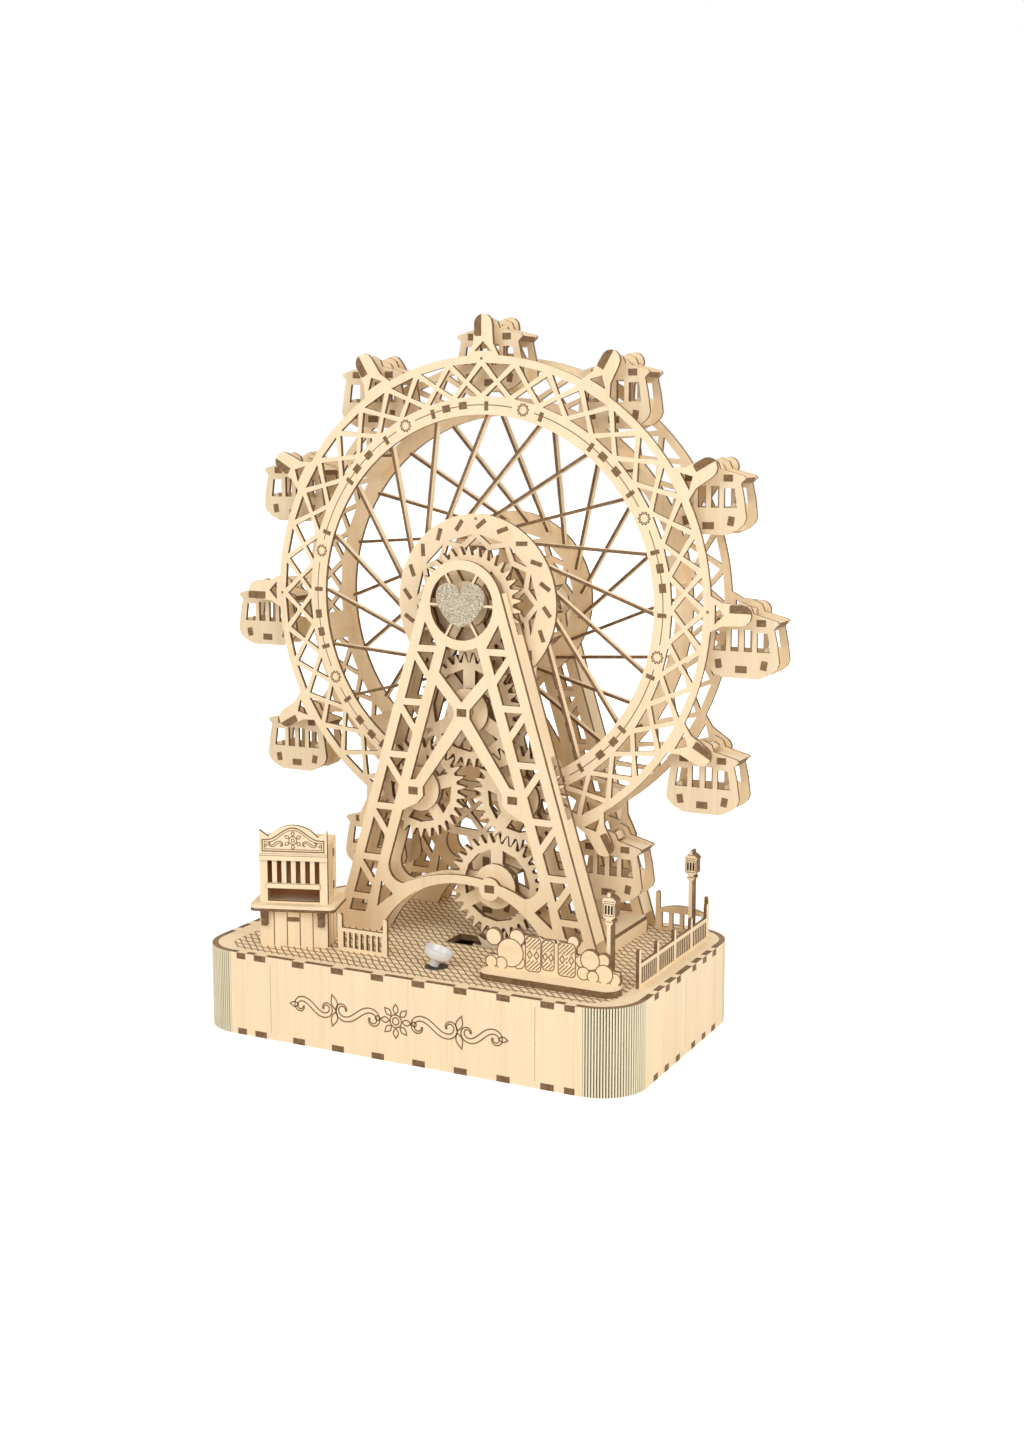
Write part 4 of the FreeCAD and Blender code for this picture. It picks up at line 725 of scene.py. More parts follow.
def ring_mark_parts(name, sheet):
    """Tenon ends, then engraved marks, of one lattice ring. Seen from behind, the rear ring's degrees run
    the other way."""
    line = mark_setting("line")
    side = 1 if name == "front" else -1

    def spot(radius, degrees):
        x, z = polar(radius, degrees)
        return (side * x, z)

    ends = []
    for index in range(SPOKES):
        angle = SPOKE_RING[name] + SPOKE_STEP * index
        ends.append(rectangle(4.4, 2.0, spot(SPOKE_TENON_RADIUS, angle), side * angle))
    for quarter in range(0, 360, 90):
        for angle in RING_JOINTS:
            turn = angle + quarter
            ends.append(rectangle(3.4, 4.2, spot(JOINT_TENON_RADIUS, turn), side * turn))
    ends += [arm_end(90 - CABIN_LEAD - CABIN_STEP * index, side) for index in range(len(CABINS))]

    lines = []
    for quarter in range(0, 360, 90):
        for angle in RING_SUNS[name]:
            outline = sun(SUN_RADIUS, spot(MARK_RADIUS, angle + quarter))
            lines.append(engraved(outline, line * SUN_LINE, sheet, True))
        for start, end in RING_LINES[name]:
            path = arc(MARK_RADIUS, start + quarter, end + quarter, 36) * (side, 1)
            lines.append(engraved(path[::side], line * RING_LINE, sheet))
        lines.append(engraved(circle(0.45, 10, spot(DOT_RADIUS, quarter)), 0.5, sheet, True))
    return [tenon_end(outline, sheet) for outline in ends], lines


class FERRIS_OT_ring_marks(Finish, bpy.types.Operator):
    """Tenon ends and engraved marks on the two lattice rings and hub discs"""

    bl_idname = "ferris.ring_marks"
    bl_label = "Ring marks"

    def execute(self, context):
        x, _, z = WHEEL_CENTRE
        for name, face in (("front", front_sheet), ("rear", rear_sheet)):
            hub = face(HUB_FACE[name], x, z)
            tenons, lines = ring_mark_parts(name, face(RING_FACE[name], x, z))
            # seen from behind, the rear spokes have the front ones' angles
            for index in range(SPOKES):
                angle = SPOKE_HUB["front"] + SPOKE_STEP * index
                end = rectangle(6.0, 2.1, polar(HUB_TENON_RADIUS, angle), angle + HUB_TENON_TURN)
                tenons.append(tenon_end(end, hub))
            lines.append(engraved(circle(0.5, 10, (0, HUB_DOT_RADIUS)), 0.5, hub, True))
            piece("%s_ring_tenons" % name, tenons, tenon_material(), "wheel")
            piece("%s_ring_lines" % name, lines, etched_material(), "wheel")
        return {"FINISHED"}


class FERRIS_OT_spokes(Finish, bpy.types.Operator):
    """Rear spokes that lean against the front ones, so that the two sets cross"""

    bl_idname = "ferris.spokes"
    bl_label = "Rear spokes"

    def execute(self, context):
        thickness, depth = 1.5, 3.2
        hub_radius, hub_back, ring_radius, ring_back = 37.9, 48.2, 88.4, 43.0
        strips = []
        for index in range(SPOKES):
            turn = SPOKE_STEP * index
            hub_x, hub_z = polar(hub_radius, SPOKE_HUB["rear"] + turn)
            ring_x, ring_z = polar(ring_radius, SPOKE_RING["rear"] + turn)
            start = np.array((WHEEL_CENTRE[0] + hub_x, hub_back, WHEEL_CENTRE[2] + hub_z))
            end = np.array((WHEEL_CENTRE[0] + ring_x, ring_back, WHEEL_CENTRE[2] + ring_z))
            run = (end - start) * (1, 0, 1)
            across = np.array((-run[2], 0, run[0])) / np.linalg.norm(run) * thickness / 2
            strips.append(bar(start, end, across, np.array((0, -depth, 0))))
        piece("rear_spoke_strips", strips, bpy.data.materials["wood_strip_upright"], "wheel",
              replaces=("rear_spokes",))
        return {"FINISHED"}


# outer edge of a cabin's roof panel: how far it lies to the side of the pin and below it, and the direction
# of its thickness
ROOF_OUT, ROOF_DOWN, ROOF_SLOPE = 16.0, 4.7, (0.476, 0.88)


class FERRIS_OT_cabin_marks(Finish, bpy.types.Operator):
    """Tenon ends on both end plates and burnt roof edges of the twelve cabins"""

    bl_idname = "ferris.cabin_marks"
    bl_label = "Cabin tenons"

    def execute(self, context):
        x, y, z = WHEEL_CENTRE
        seat = rectangle(5.5, 3.2, (0, -25.0))
        roof_ends = [rectangle(4.4, 3.1, (side * 9.2, -3.65)) for side in (1, -1)]
        wall_ends = [rectangle(3.0, 4.2, (side * 10.8, -22.8), side * -10) for side in (1, -1)]
        for index, body in enumerate(CABINS):
            u, v = polar(CABIN_CIRCLE, 90 - CABIN_LEAD - CABIN_STEP * index)
            parts = []
            for sheet in (front_sheet(y - CABIN_HALF_DEPTH, x + u, z + v),
                          rear_sheet(y + CABIN_HALF_DEPTH, x + u, z + v)):
                parts += [tenon_end(outline, sheet) for outline in [seat] + roof_ends + wall_ends]
            for side in (1, -1):
                place = (x + u + side * ROOF_OUT, y, z + v - ROOF_DOWN)
                roof = Sheet(place, (0, side, 0), (side * ROOF_SLOPE[0], 0, ROOF_SLOPE[1]))
                parts.append(tenon_end(rectangle(13.6, 2.7), roof, PANEL_SINK))
            piece("%s_tenons" % body, parts, tenon_material(), body)
        return {"FINISHED"}


# one rib of a fluted corner: where its points lie, as shares of its width, and how far they are sunk, as
# shares of the groove
RIB_PLACES, RIB_SINKS = (0.0, 0.13, 0.24, 0.76, 0.87), (1.0, 0.85, 0.0, 0.0, 0.85)
RIB_PALE, RIB_DARK = (0.91, 0.84, 0.63), (0.76, 0.67, 0.48)


def fluted_wall(centre, start, ribs, groove):
    """Quarter wall of a corner: radius as a function of the angle, with one narrow slit between ribs,
    carried straight up; the third result is 1 for a point inside a slit."""
    turn = (np.arange(ribs)[:, None] + np.array(RIB_PLACES)[None, :]).ravel() / ribs
    turn, sink = np.append(turn, 1.0), np.append(np.tile(RIB_SINKS, ribs), 1.0)
    sink[0] = sink[-1] = 0.0
    angle = np.radians(start + 90.0 * turn)
    outer = CORNER_RADIUS - groove * sink
    inner = np.full_like(outer, CORNER_RADIUS - BASE_WALL)
    section = ((0.0, inner), (0.0, outer), (DECK_TOP, outer), (DECK_TOP, inner))
    points = np.vstack([np.column_stack([around(reach, angle, centre), np.full_like(reach, level)])
                        for level, reach in section])
    plain = np.zeros(len(angle))
    return points, tube_faces(len(angle)), np.concatenate([plain, sink, sink, plain])


class FERRIS_OT_corners(Finish, bpy.types.Operator):
    """Fluted bent walls round the four corners of the base"""

    bl_idname = "ferris.corners"
    bl_label = "Fluted corners"

    def execute(self, context):
        settings, wood = context.scene.ferris_corners, context.scene.ferris_wood
        across, back = (half - CORNER_RADIUS for half in BASE_HALF)
        parts, slits = [], []
        for x, y, start in ((across, back, 0), (-across, back, 90), (-across, -back, 180),
                            (across, -back, 270)):
            points, faces, slit = fluted_wall((x, y), start, settings.ribs, settings.groove / MM)
            parts.append((points, faces))
            slits.append(slit)
        graph = material_graph("wood_fluted")
        shade = graph.add("ShaderNodeAttribute", attribute_name="slit").outputs["Fac"]
        fibre = graph.noise(graph.scaled(graph.point(), GRAINS["upright"]), FIBRE_SCALE, 5.0, 0.6)
        face = graph.mix(graph.ramp(fibre, 0.4, 0.8), rgba(RIB_PALE), rgba(RIB_DARK))
        colour = graph.mix(graph.ramp(shade, 0.15, 0.8), face, rgba(wood.burnt))
        colour = graph.mix(mask_level(graph), colour, rgba(wood.toasted))
        material = graph.finish(Base_Color=colour, Roughness=0.7, Specular_IOR_Level=0.2)
        made = piece("fluted_corners", parts, material, "root", replaces=("base_corner_walls",))
        attribute = made.data.attributes.new("slit", "FLOAT", "POINT")
        attribute.data.foreach_set("value", np.concatenate(slits).astype(np.float32))
        return {"FINISHED"}


# the walls' seams: place on the long walls, gap to the wall's edges, and width; middle and line of the scroll
SEAM_PLACE, SEAM_GAP, SEAM_WIDTH = 69.0, 3.2, 0.32
SCROLL_MIDDLE, SCROLL_LINE = (-1.0, 19.5), 0.62


class FERRIS_OT_base_marks(Finish, bpy.types.Operator):
    """Engraved seams and a plain scroll ornament on the walls of the base"""

    bl_idname = "ferris.base_marks"
    bl_label = "Base marks"

    def execute(self, context):
        across, back = BASE_HALF
        long_places, ends = (-SEAM_PLACE, SEAM_PLACE), (SEAM_GAP, DECK_TOP - SEAM_GAP)
        seams = []
        for sheet, places in ((front_sheet(-back), long_places), (rear_sheet(back), long_places),
                              (Sheet((across, 0, 0), (0, 1, 0), (0, 0, 1)), (0.0,)),
                              (Sheet((-across, 0, 0), (0, -1, 0), (0, 0, 1)), (0.0,))):
            seams += [engraved([(place, end) for end in ends], SEAM_WIDTH, sheet) for place in places]
        piece("wall_seams", seams, scorched("faint_seam", (0.60, 0.46, 0.30), 0.2), "root")

        # a flower in the middle and two scrolls to either side of it, with leaves where they meet
        outlines = [circle(1.7, 20), circle(3.0, 28)]
        outlines += [leaf(polar(3.4, angle), angle, 4.6, 2.6) for angle in range(0, 360, 45)]
        for side in (-1, 1):
            for middle, size, tilt, flip in ((20.0, 11.6, 8, side), (44.0, 10.0, 4, -side)):
                outlines.append(band(double_curl((side * middle, 0), size, tilt, flip), 2.5))
            outlines.append(leaf((side * 31.6, 0.4), 90 - side * 18, 7.5, 3.2))
            outlines.append(leaf((side * 31.6, -0.4), -90 + side * 18, 7.5, 3.2))
            outlines.append(circle(1.1, 14, (side * 9.6, 0.0)))
            outlines.append(leaf((side * 52.4, 0.0), 90 - side * 90, 4.6, 2.4))
        front = front_sheet(-back, *SCROLL_MIDDLE)
        scroll = [engraved(outline, SCROLL_LINE, front, True) for outline in outlines]
        piece("front_scroll", scroll, etched_material(), "root")
        return {"FINISHED"}


def booth_sheet(depth, height=0.0):
    """Sheet of a face of the booth that looks forward, depth behind the front of its cabinet."""
    origin = np.array(BOOTH_PLACE) + np.array(BOOTH_BACK) * depth + (0, 0, height)
    return Sheet(origin, BOOTH_RIGHT, (0, 0, 1))


def booth_side(across, facing):
    """Sheet of a face of the booth that looks right (facing 1) or left (-1); u runs back or forward."""
    origin = np.array(BOOTH_PLACE) + np.array(BOOTH_RIGHT) * across * facing
    return Sheet(origin, np.array(BOOTH_BACK) * facing, (0, 0, 1))


def crown_frames():
    """Two closed outlines on the kiosk's top board, one inside the other: straight sides and foot, and a
    cosine wave for the top."""
    across = np.linspace(-13, 13, 27)
    wave = np.stack([across, 30.7 + 6.0 * (0.5 + 0.5 * np.cos(np.pi * across / 13))], axis=1)
    outer = np.vstack([(-15.0, 25.2), (15.0, 25.2), (15.0, 30.7), wave[::-1], (-15.0, 30.7)])
    lower = (wave * (0.95, 1) - (0, 1.15))[::-1]
    inner = np.vstack([(-14.0, 26.2), (14.0, 26.2), (14.0, 29.8), lower, (-14.0, 29.8)])
    return outer, inner


class FERRIS_OT_booth(Finish, bpy.types.Operator):
    """Counter top, mouldings, plank lines, tenon ends and a plain ornament on the booth"""

    bl_idname = "ferris.booth"
    bl_label = "Booth details"

    def execute(self, context):
        floor = Sheet(BOOTH_PLACE, BOOTH_RIGHT, BOOTH_BACK)
        counter = prism(rounded((-20.7, -4.2), (20.7, 24.0), 3.6, 8), floor, COUNTER_LOW, COUNTER_HIGH)
        piece("booth_counter_top", [counter], bpy.data.materials["wood_counter_across"], "root",
              replaces=("booth_counter",))
        kiosk = booth_sheet(KIOSK_FRONT, COUNTER_HIGH)
        strips = [prism(rectangle(33.6, 2.2, (0, 22.0)), kiosk, 0.0, 0.9),
                  prism(rectangle(33.2, 0.8, (0, 23.6)), kiosk, 0.0, 0.45),
                  prism(rectangle(26.0, 2.2, (0, 8.45)), kiosk, 0.0, 0.9)]
        piece("booth_mouldings", strips, bpy.data.materials["wood_booth_upright"], "root")

        outer, inner = crown_frames()
        lines = [engraved(outer, 0.6, kiosk, True), engraved(inner, 0.35, kiosk, True)]
        flower = np.array((0, 30.6))
        motifs = [circle(1.9, 20, flower), circle(0.8, 10, flower)]
        motifs += [leaf(flower + polar(2.2, angle), angle, 2.2, 1.5) for angle in range(30, 390, 60)]
        for side in (-1, 1):
            motifs.append(band(double_curl((side * 8.3, 28.8), 3.4, 6, side, 1.6, 49), 1.0))
            motifs.append(leaf((side * 12.6, 28.0), 90 - side * 90, 1.3, 1.2))
        lines += [engraved(outline, 0.42, kiosk, True) for outline in motifs]

        front = booth_sheet(0.0)
        lines += [engraved([(x, 0.4), (x, 17.8)], 0.5, front) for x in (-9.6, -3.2, 3.1, 9.4)]
        ends = [tenon_end(rectangle(6.6, 2.2, (-0.1, 13.4)), front, PANEL_SINK)]
        for facing in (-1, 1):
            wall, side = booth_side(CABINET_HALF_WIDTH, facing), booth_side(KIOSK_HALF_WIDTH, facing)
            lines += [engraved([(facing * y, 0.4), (facing * y, 17.6)], 0.45, wall) for y in (6, 12, 18)]
            lines += [engraved([(facing * y, 21.4), (facing * y, 48.6)], 0.45, side)
                      for y in (5.6, 8.6, 11.6, 14.6)]
            ends += [tenon_end(rectangle(2.0, 4.0, (facing * 15.8, height)), side, PANEL_SINK)
                     for height in (43.0, 27.0)]
        rear_place = np.array(BOOTH_PLACE) + np.array(BOOTH_BACK) * KIOSK_BACK
        rear = Sheet(rear_place, -np.array(BOOTH_RIGHT), (0, 0, 1))
        lines += [engraved([(x, 21.4), (x, 48.4)], 0.45, rear) for x in (-11, -5.5, 0, 5.5, 11)]
        piece("booth_lines", lines, etched_material(), "root")
        piece("booth_tenons", ends, tenon_material(), "root")
        return {"FINISHED"}


# the sign's face: x and z from its lower left corner
SIGN_FRONT, SIGN_LEFT, SIGN_FOOT = -44.0, 32.0, 43.0
# hedge circles from back to front: middle and radius
HEDGE = ((15.8, 15.4, 4.0), (43.6, 17.0, 3.0), (4.0, 14.4, 4.1), (58.2, 10.5, 3.2), (16.6, 4.2, 3.4),
         (47.8, 8.8, 3.2), (12.4, 8.0, 6.8), (51.8, 9.8, 4.8), (8.0, 2.6, 3.1), (2.8, 2.7, 3.1),
         (48.6, 3.4, 3.2), (63.6, 2.6, 3.1), (58.5, 4.3, 4.5), (53.2, 2.4, 3.0))
# striped boards: low corner, high corner
BOARDS = ((19.8, 0.5, 28.0, 17.0), (36.0, 0.5, 45.0, 16.4), (28.0, 2.0, 34.6, 16.4))
DIAMONDS = [(x, 8.4) for x in (22.2, 25.6, 29.9, 32.8, 38.3, 42.7)]
# plain wood behind the engraving, between the hedge and the boards: low corner, high corner
INFILL = (((18.6, 4.0), (20.4, 12.6)), ((33.9, 1.0), (36.6, 15.2)),
          ((44.4, 4.0), (48.4, 11.4)), ((46.0, 1.0), (50.0, 6.0)))


def board_stripes(low, high):
    """Slanting stripes of one board: 45 degree lines a step apart, each cut at the board's border."""
    for shift in np.arange(low[0] - high[1] + 2.0, high[0] - low[1] - 1.0, 1.85):
        start = max(low[0] + 0.5, low[1] + 0.6 + shift)
        end = min(high[0] - 0.5, high[1] - 0.6 + shift)
        across = np.linspace(start, end, 24)
        yield np.stack([across, across - shift], axis=1)


class FERRIS_OT_sign(Finish, bpy.types.Operator):
    """Hedge circles, striped boards and a row of plain diamonds engraved on the sign"""

    bl_idname = "ferris.sign"
    bl_label = "Sign details"

    def execute(self, context):
        panel = front_sheet(SIGN_FRONT, SIGN_LEFT, SIGN_FOOT)
        foot = (-9.0, -9.0, 90.0, 0.25)
        lines = []
        for index, (x, z, radius) in enumerate(HEDGE):
            covers = [foot] + list(BOARDS) + [(a, b, c - 0.2) for a, b, c in HEDGE[index + 1:]]
            for run, closed in shown_runs(circle(radius - 0.25, 60, (x, z)), covers, True):
                lines.append(engraved(run, 0.5, panel, closed))
        clear = [(x - 1.7, z - 2.3, x + 1.7, z + 2.3) for x, z in DIAMONDS]
        for board in BOARDS:
            low, high = np.array(board[:2]) + 0.3, np.array(board[2:]) - 0.3
            lines.append(engraved(rounded(low, high, 1.8), 0.5, panel, True))
            for stripe in board_stripes(low, high):
                lines += [engraved(run, 0.45, panel) for run, closed in shown_runs(stripe, clear, False)]
        for x, z in DIAMONDS:
            shape = np.array([(x - 1.2, z), (x, z - 1.8), (x + 1.2, z), (x, z + 1.8)])
            lines.append(engraved(shape, 0.5, panel, True))
        piece("sign_lines", lines, etched_material(), "root")

        fills = [prism(rounded(low, high, 0.3, 2), panel, -1.97, -0.03) for low, high in INFILL]
        piece("sign_infill", fills, bpy.data.materials["wood_plate_across"], "root")
        return {"FINISHED"}


LAMP_PLACES = ((91.0, -37.6), (95.0, 52.0))
LAMP_HALF_DEPTH = 2.7
# a lantern over the deck: places, half width and heights of its slots, which get dark patches of painted
# shade, and half lengths and heights of the cross lines of its cap and post
SHADED_SLOTS, SLOT_HALF, SLOT_LOW, SLOT_HIGH = (-1.45, 0.0, 1.45), 0.46, 33.5, 37.7
LANTERN_LINES = ((2.7, 39.35), (1.7, 41.2), (1.5, 30.2), (1.3, 3.4))


class FERRIS_OT_lamps(Finish, bpy.types.Operator):
    """Dark patches of painted shade in the lantern slots, frame lines and cap lines on the two lamp posts"""

    bl_idname = "ferris.lamps"
    bl_label = "Lantern details"

    def execute(self, context):
        slot_shades, lines = [], []
        for x, y in LAMP_PLACES:
            for sheet in (front_sheet(y - LAMP_HALF_DEPTH, x, DECK_TOP),
                          rear_sheet(y + LAMP_HALF_DEPTH, x, DECK_TOP)):
                for u in SHADED_SLOTS:
                    slot_shade = rounded((u - SLOT_HALF, SLOT_LOW), (u + SLOT_HALF, SLOT_HIGH), 0.4, 3)
                    # painted shade: a near-black patch where each slot of the lantern lies in shade
                    slot_shades.append(prism(slot_shade, sheet, -0.1, 0.06))
                lines.append(engraved(rounded((-2.5, 32.8), (2.5, 38.4), 0.7, 4), 0.3, sheet, True))
                lines += [engraved([(-half, z), (half, z)], 0.3, sheet) for half, z in LANTERN_LINES]
        piece("lantern_panes", slot_shades, scorched("lantern_pane", (0.055, 0.035, 0.022), 0.3), "root")
        piece("lantern_lines", lines, etched_material(), "root")
        return {"FINISHED"}


TURNED_STREAK = (0.70, 0.50, 0.29)


class FERRIS_OT_crank(Finish, bpy.types.Operator):
    """Turned wooden grip on the crank's pin"""

    bl_idname = "ferris.crank"
    bl_label = "Crank grip"

    def execute(self, context):
        low, high = (np.array(corner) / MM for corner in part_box("crank_handle"))
        x, z = (low[0] + high[0]) / 2, (low[2] + high[2]) / 2
        length = high[1] - low[1]
        # the grip's radius swells as half a sine wave, with a groove near either end
        way = np.linspace(0, 1, 33)
        grooves = ((way > 0.12) & (way < 0.16)) | ((way > 0.84) & (way < 0.88))
        belly = 3.15 + 1.0 * np.sin(np.pi * way ** 1.25) - 0.22 * grooves
        swell = np.stack([belly, 3.1 + way * (length - 3.4)], axis=1)
        profile = np.vstack([(0, 0), (2.5, 0), (2.5, 3.0), (2.9, 3.05), swell, (2.6, length - 0.05),
                             (0, length)])
        wood = context.scene.ferris_wood
        graph = material_graph("turned_wood")
        fibre = graph.noise(graph.scaled(graph.point(), (1.0, 0.06, 1.0)), 620.0, 5.0, 0.6)
        colour = graph.mix(graph.ramp(fibre, 0.35, 0.75), rgba(wood.face), rgba(TURNED_STREAK))
        material = graph.finish(Base_Color=colour, Roughness=0.48, Normal=graph.bump(fibre, 0.15, 0.0003),
                                Specular_IOR_Level=0.4)
        grip = piece("crank_grip", [revolve(profile, (x, low[1], z), (0, 1, 0), 40)], material, "crank",
                     replaces=("crank_handle",), smooth=True)
        grip.data.set_sharp_from_angle(angle=math.radians(50))
        return {"FINISHED"}


# colours of the glitter's dark and pale flakes, and the near-white of its painted glints
GLITTER_DARK, GLITTER_PALE, GLITTER_PAINTED_GLINT = (0.30, 0.24, 0.16), (0.80, 0.68, 0.52), (0.97, 0.94, 0.88)


class FERRIS_OT_heart(Finish, bpy.types.Operator):
    """Glitter film on the front head's heart, with painted glints on some of its flakes"""

    bl_idname = "ferris.heart"
    bl_label = "Glitter heart"

    def execute(self, context):
        graph = material_graph("glitter_card")
        flakes = graph.add("ShaderNodeTexVoronoi", {"Vector": graph.point(), "Scale": 2400.0})
        flake = graph.add("ShaderNodeSeparateColor", {0: flakes.outputs["Color"]}).outputs
        colour = graph.mix(graph.ramp(flake[0], 0.1, 0.95), rgba(GLITTER_DARK), rgba(GLITTER_PALE))
        # painted glint: one flake in ten gets a near-white colour for the glitter's sparkle
        painted_glint = graph.math("MULTIPLY", graph.above(flake[1], 0.90), 0.8)
        colour = graph.mix(painted_glint, colour, rgba(GLITTER_PAINTED_GLINT))
        cover_node("heart_emblem", graph.finish(Base_Color=colour, Roughness=0.38, Specular_IOR_Level=0.6,
                                                Normal=graph.bump(flake[2], 0.8, 0.0003)))
        return {"FINISHED"}


# the spotlight's cup: its foot, the direction that it leans in, and its profile as radius and height
SPOT_FOOT = (6.3, -46.8, DECK_TOP + 0.6)
SPOT_LEAN = (0.36 * 0.894, 0.36 * 0.449, 1.0)
SPOT_PROFILE = ((0, 0), (2.3, 0), (2.3, 0.6), (2.0, 0.9), (2.3, 1.2), (2.3, 1.8), (2.0, 2.1), (2.3, 2.4),
                (2.5, 3.0), (4.4, 3.6), (6.3, 4.6), (6.6, 5.4), (6.75, 7.6), (6.8, 8.2), (6.4, 8.3),
                (6.0, 7.8), (5.8, 5.8), (4.6, 4.9), (2.2, 4.3), (0, 4.1))


class FERRIS_OT_spotlight(Finish, bpy.types.Operator):
    """Clear cup lens on its grooved stem, over the dark socket of the deck"""

    bl_idname = "ferris.spotlight"
    bl_label = "Spotlight"

    def execute(self, context):
        graph = material_graph("clear_lens")
        cloud = graph.noise(graph.point(), 260.0, 2.0)
        milky = graph.mix(cloud, (0.94, 0.94, 0.96, 1), (1.0, 1.0, 1.0, 1))
        clear = graph.finish(Base_Color=milky, Roughness=0.04, IOR=1.46, Transmission_Weight=0.34,
                             Specular_IOR_Level=0.9)
        lean = Vector(SPOT_LEAN).normalized()
        piece("spotlight_cup", [revolve(SPOT_PROFILE, SPOT_FOOT, lean, 56)], clear, "root",
              replaces=("spotlight_lens",), smooth=True)
        graph = material_graph("dark_socket")
        rings = graph.noise(graph.point(), 300.0, 2.0)
        colour = graph.mix(rings, (0.02, 0.018, 0.016, 1), (0.05, 0.045, 0.04, 1))
        cover_node("spotlight_socket", graph.finish(Base_Color=colour, Roughness=0.45))
        return {"FINISHED"}


# metres: half of the floor, and how far out its glow starts to grow and is full
FLOOR_REACH, FLOOR_FADE = 6.0, (0.35, 0.9)
# strength of the glow near the object, and what is added to it further out
FLOOR_GLOW, FLOOR_GLOW_MORE = 0.45, 0.6
# metres: the lamps' side, places and common aim, and the camera's place
LAMP_SIDE = 0.9
LAMPS = {"key": (-0.35, -1.25, 1.05), "fill": (1.25, -0.60, 0.75), "back": (-0.30, 1.35, 0.90)}
LAMP_AIM = (0, 0, 0.16)
LAMP_COLOUR = (0.96, 0.98, 1.0)
SKY_COLOUR = (1.0, 0.93, 0.81)
WHITE = (1.0, 1.0, 1.0)
CAMERA_PLACE = (0.38589, -0.71988, 0.2804)
# degrees: how far the camera looks down, and how far it is turned
CAMERA_DIP, CAMERA_TURN = 8.28, 26.67
CAMERA_LENS, CAMERA_SHIFT = 43.15, (-0.0015, -0.0228)


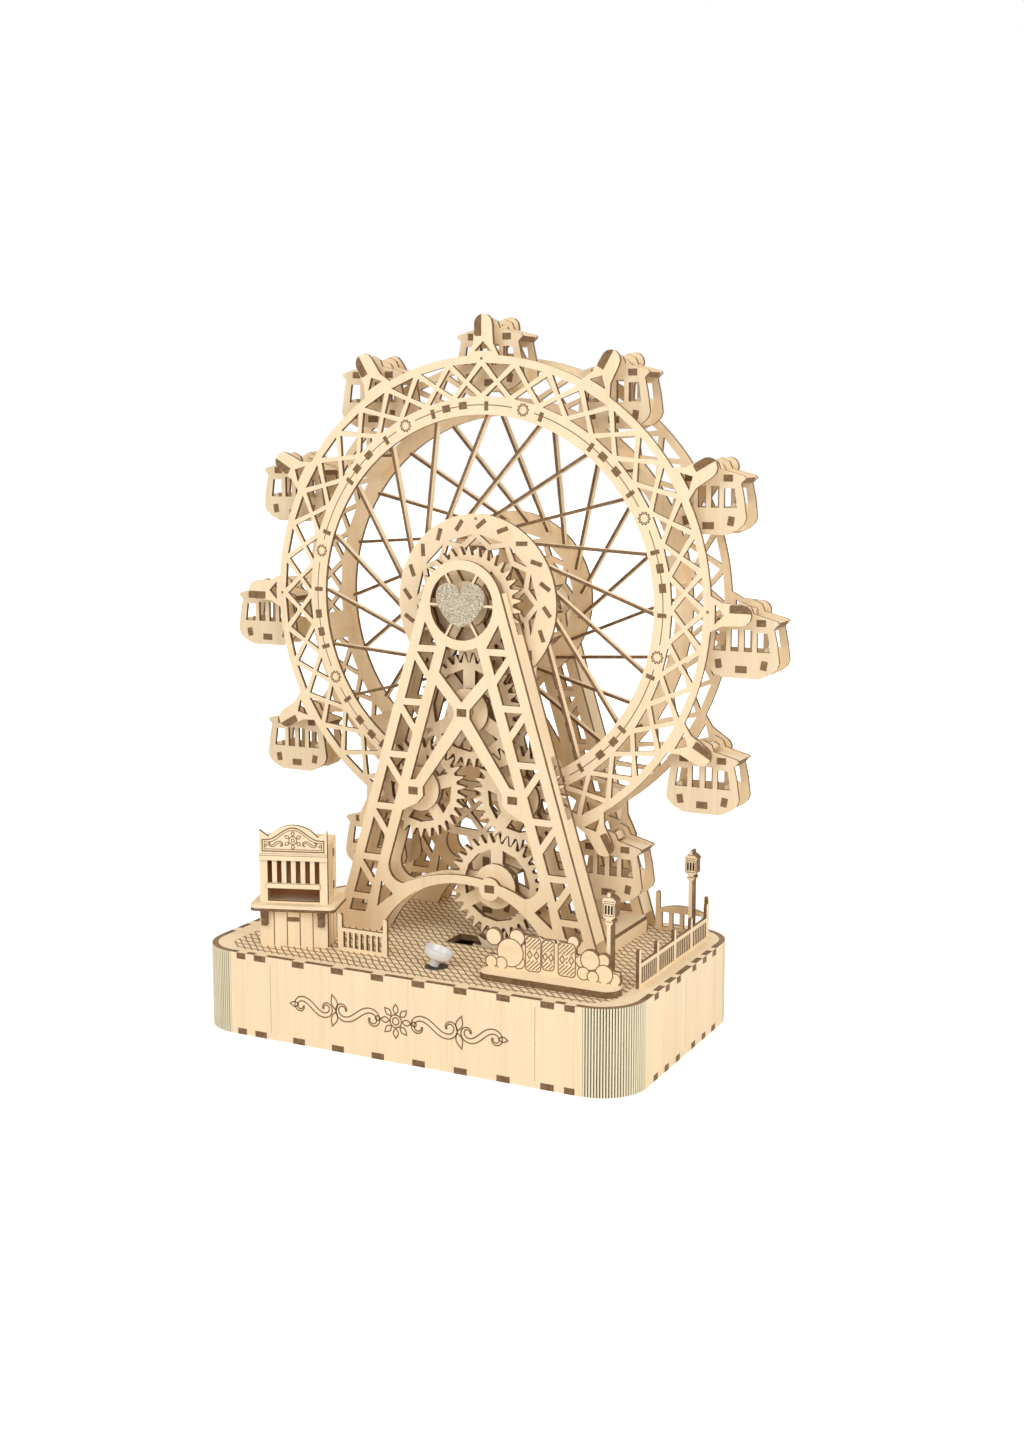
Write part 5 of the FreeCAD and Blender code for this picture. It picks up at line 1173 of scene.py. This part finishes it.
class FERRIS_OT_stage(Finish, bpy.types.Operator):
    """White floor, soft lamps and the camera"""

    bl_idname = "ferris.stage"
    bl_label = "Stage"

    def execute(self, context):
        scene, settings = context.scene, context.scene.ferris_stage
        self.lay_floor(scene, settings)
        self.light_sky(scene, settings)
        for name, where in LAMPS.items():
            lamp = bpy.data.lights.new(name, "AREA")
            lamp.energy = getattr(settings, name)
            lamp.color = LAMP_COLOUR
            lamp.size = LAMP_SIDE
            holder = bpy.data.objects.new(name, lamp)
            holder.location = where
            aim = Vector(LAMP_AIM) - Vector(where)
            holder.rotation_euler = aim.to_track_quat("-Z", "Y").to_euler()
            scene.collection.objects.link(holder)

        lens = bpy.data.cameras.new("camera")
        lens.lens = CAMERA_LENS
        lens.shift_x, lens.shift_y = CAMERA_SHIFT
        lens.clip_start, lens.clip_end = 0.01, 20.0
        camera = bpy.data.objects.new("camera", lens)
        camera.location = CAMERA_PLACE
        camera.rotation_euler = (math.radians(90 - CAMERA_DIP), 0, math.radians(CAMERA_TURN))
        scene.collection.objects.link(camera)
        scene.camera = camera
        scene.view_settings.view_transform = "Standard"
        return {"FINISHED"}

    def lay_floor(self, scene, settings):
        """Pale floor that keeps the shadow near the object and fades to white further out: its own glow,
        seen only directly or through gloss and glass, grows with the distance."""
        mesh = bpy.data.meshes.new("floor")
        reach = FLOOR_REACH
        mesh.from_pydata([(-reach, -reach, 0), (reach, -reach, 0), (reach, reach, 0), (-reach, reach, 0)],
                         [], [(0, 1, 2, 3)])
        floor = bpy.data.objects.new("floor", mesh)
        scene.collection.objects.link(floor)
        graph = material_graph("floor_white")
        diffuse = graph.add("ShaderNodeBsdfDiffuse", {"Color": rgba(settings.floor)})
        away = graph.ramp(graph.vector("LENGTH", graph.point()), *FLOOR_FADE)
        strength = graph.math("ADD", FLOOR_GLOW, graph.math("MULTIPLY", FLOOR_GLOW_MORE, away))
        glow = graph.add("ShaderNodeEmission", {"Color": rgba(WHITE), "Strength": strength})
        rays = graph.add("ShaderNodeLightPath").outputs
        seen = graph.math("MAXIMUM", rays["Is Camera Ray"],
                          graph.math("MAXIMUM", rays["Is Glossy Ray"], rays["Is Transmission Ray"]))
        both = graph.add("ShaderNodeAddShader", {0: diffuse.outputs[0], 1: glow.outputs[0]})
        shown = graph.add("ShaderNodeMixShader", {0: seen, 1: diffuse.outputs[0], 2: both.outputs[0]})
        graph.add("ShaderNodeOutputMaterial", {"Surface": shown.outputs[0]})
        mesh.materials.append(graph.owner)

    def light_sky(self, scene, settings):
        """Even light from all round, which is plain white where it is seen directly or through glass."""
        graph = Graph(bpy.data.worlds.new("studio"))
        scene.world = graph.owner
        even = graph.add("ShaderNodeBackground", {"Color": rgba(SKY_COLOUR), "Strength": settings.sky})
        white = graph.add("ShaderNodeBackground", {"Color": rgba(WHITE), "Strength": 1.0})
        rays = graph.add("ShaderNodeLightPath").outputs
        seen = graph.math("MAXIMUM", rays["Is Camera Ray"], rays["Is Transmission Ray"])
        mixed = graph.add("ShaderNodeMixShader", {0: seen, 1: even.outputs[0], 2: white.outputs[0]})
        graph.add("ShaderNodeOutputWorld", {"Surface": mixed.outputs[0]})


class FERRIS_PT_panel(bpy.types.Panel):
    """Sidebar panel with the settings and one button for each step"""

    bl_idname = "FERRIS_PT_panel"
    bl_label = "Ferris Wheel"
    bl_space_type = "VIEW_3D"
    bl_region_type = "UI"
    bl_category = "Ferris Wheel"

    def draw(self, context):
        for group in GROUPS:
            box = self.layout.box()
            settings = getattr(context.scene, group)
            for name in settings.bl_rna.properties.keys():
                if name not in ("rna_type", "name"):
                    box.prop(settings, name)
        for operator in STEPS:
            self.layout.operator(operator.bl_idname)


GROUPS = {"ferris_wood": WoodSettings, "ferris_marks": MarkSettings, "ferris_corners": CornerSettings,
          "ferris_stage": StageSettings}
STEPS = (FERRIS_OT_stage, FERRIS_OT_wood, FERRIS_OT_ring_marks, FERRIS_OT_spokes, FERRIS_OT_cabin_marks,
         FERRIS_OT_corners, FERRIS_OT_base_marks, FERRIS_OT_booth, FERRIS_OT_sign, FERRIS_OT_lamps,
         FERRIS_OT_crank, FERRIS_OT_heart, FERRIS_OT_spotlight)


def register():
    for group in GROUPS.values():
        bpy.utils.register_class(group)
    for name, group in GROUPS.items():
        setattr(bpy.types.Scene, name, PointerProperty(type=group))
    for operator in STEPS:
        bpy.utils.register_class(operator)
    bpy.utils.register_class(FERRIS_PT_panel)


def unregister():
    bpy.utils.unregister_class(FERRIS_PT_panel)
    for operator in reversed(STEPS):
        bpy.utils.unregister_class(operator)
    for name in GROUPS:
        delattr(bpy.types.Scene, name)
    for group in GROUPS.values():
        bpy.utils.unregister_class(group)


def main():
    register()
    for operator in STEPS:
        getattr(bpy.ops.ferris, operator.bl_idname.split(".")[1])()


if __name__ == "__main__":
    main()
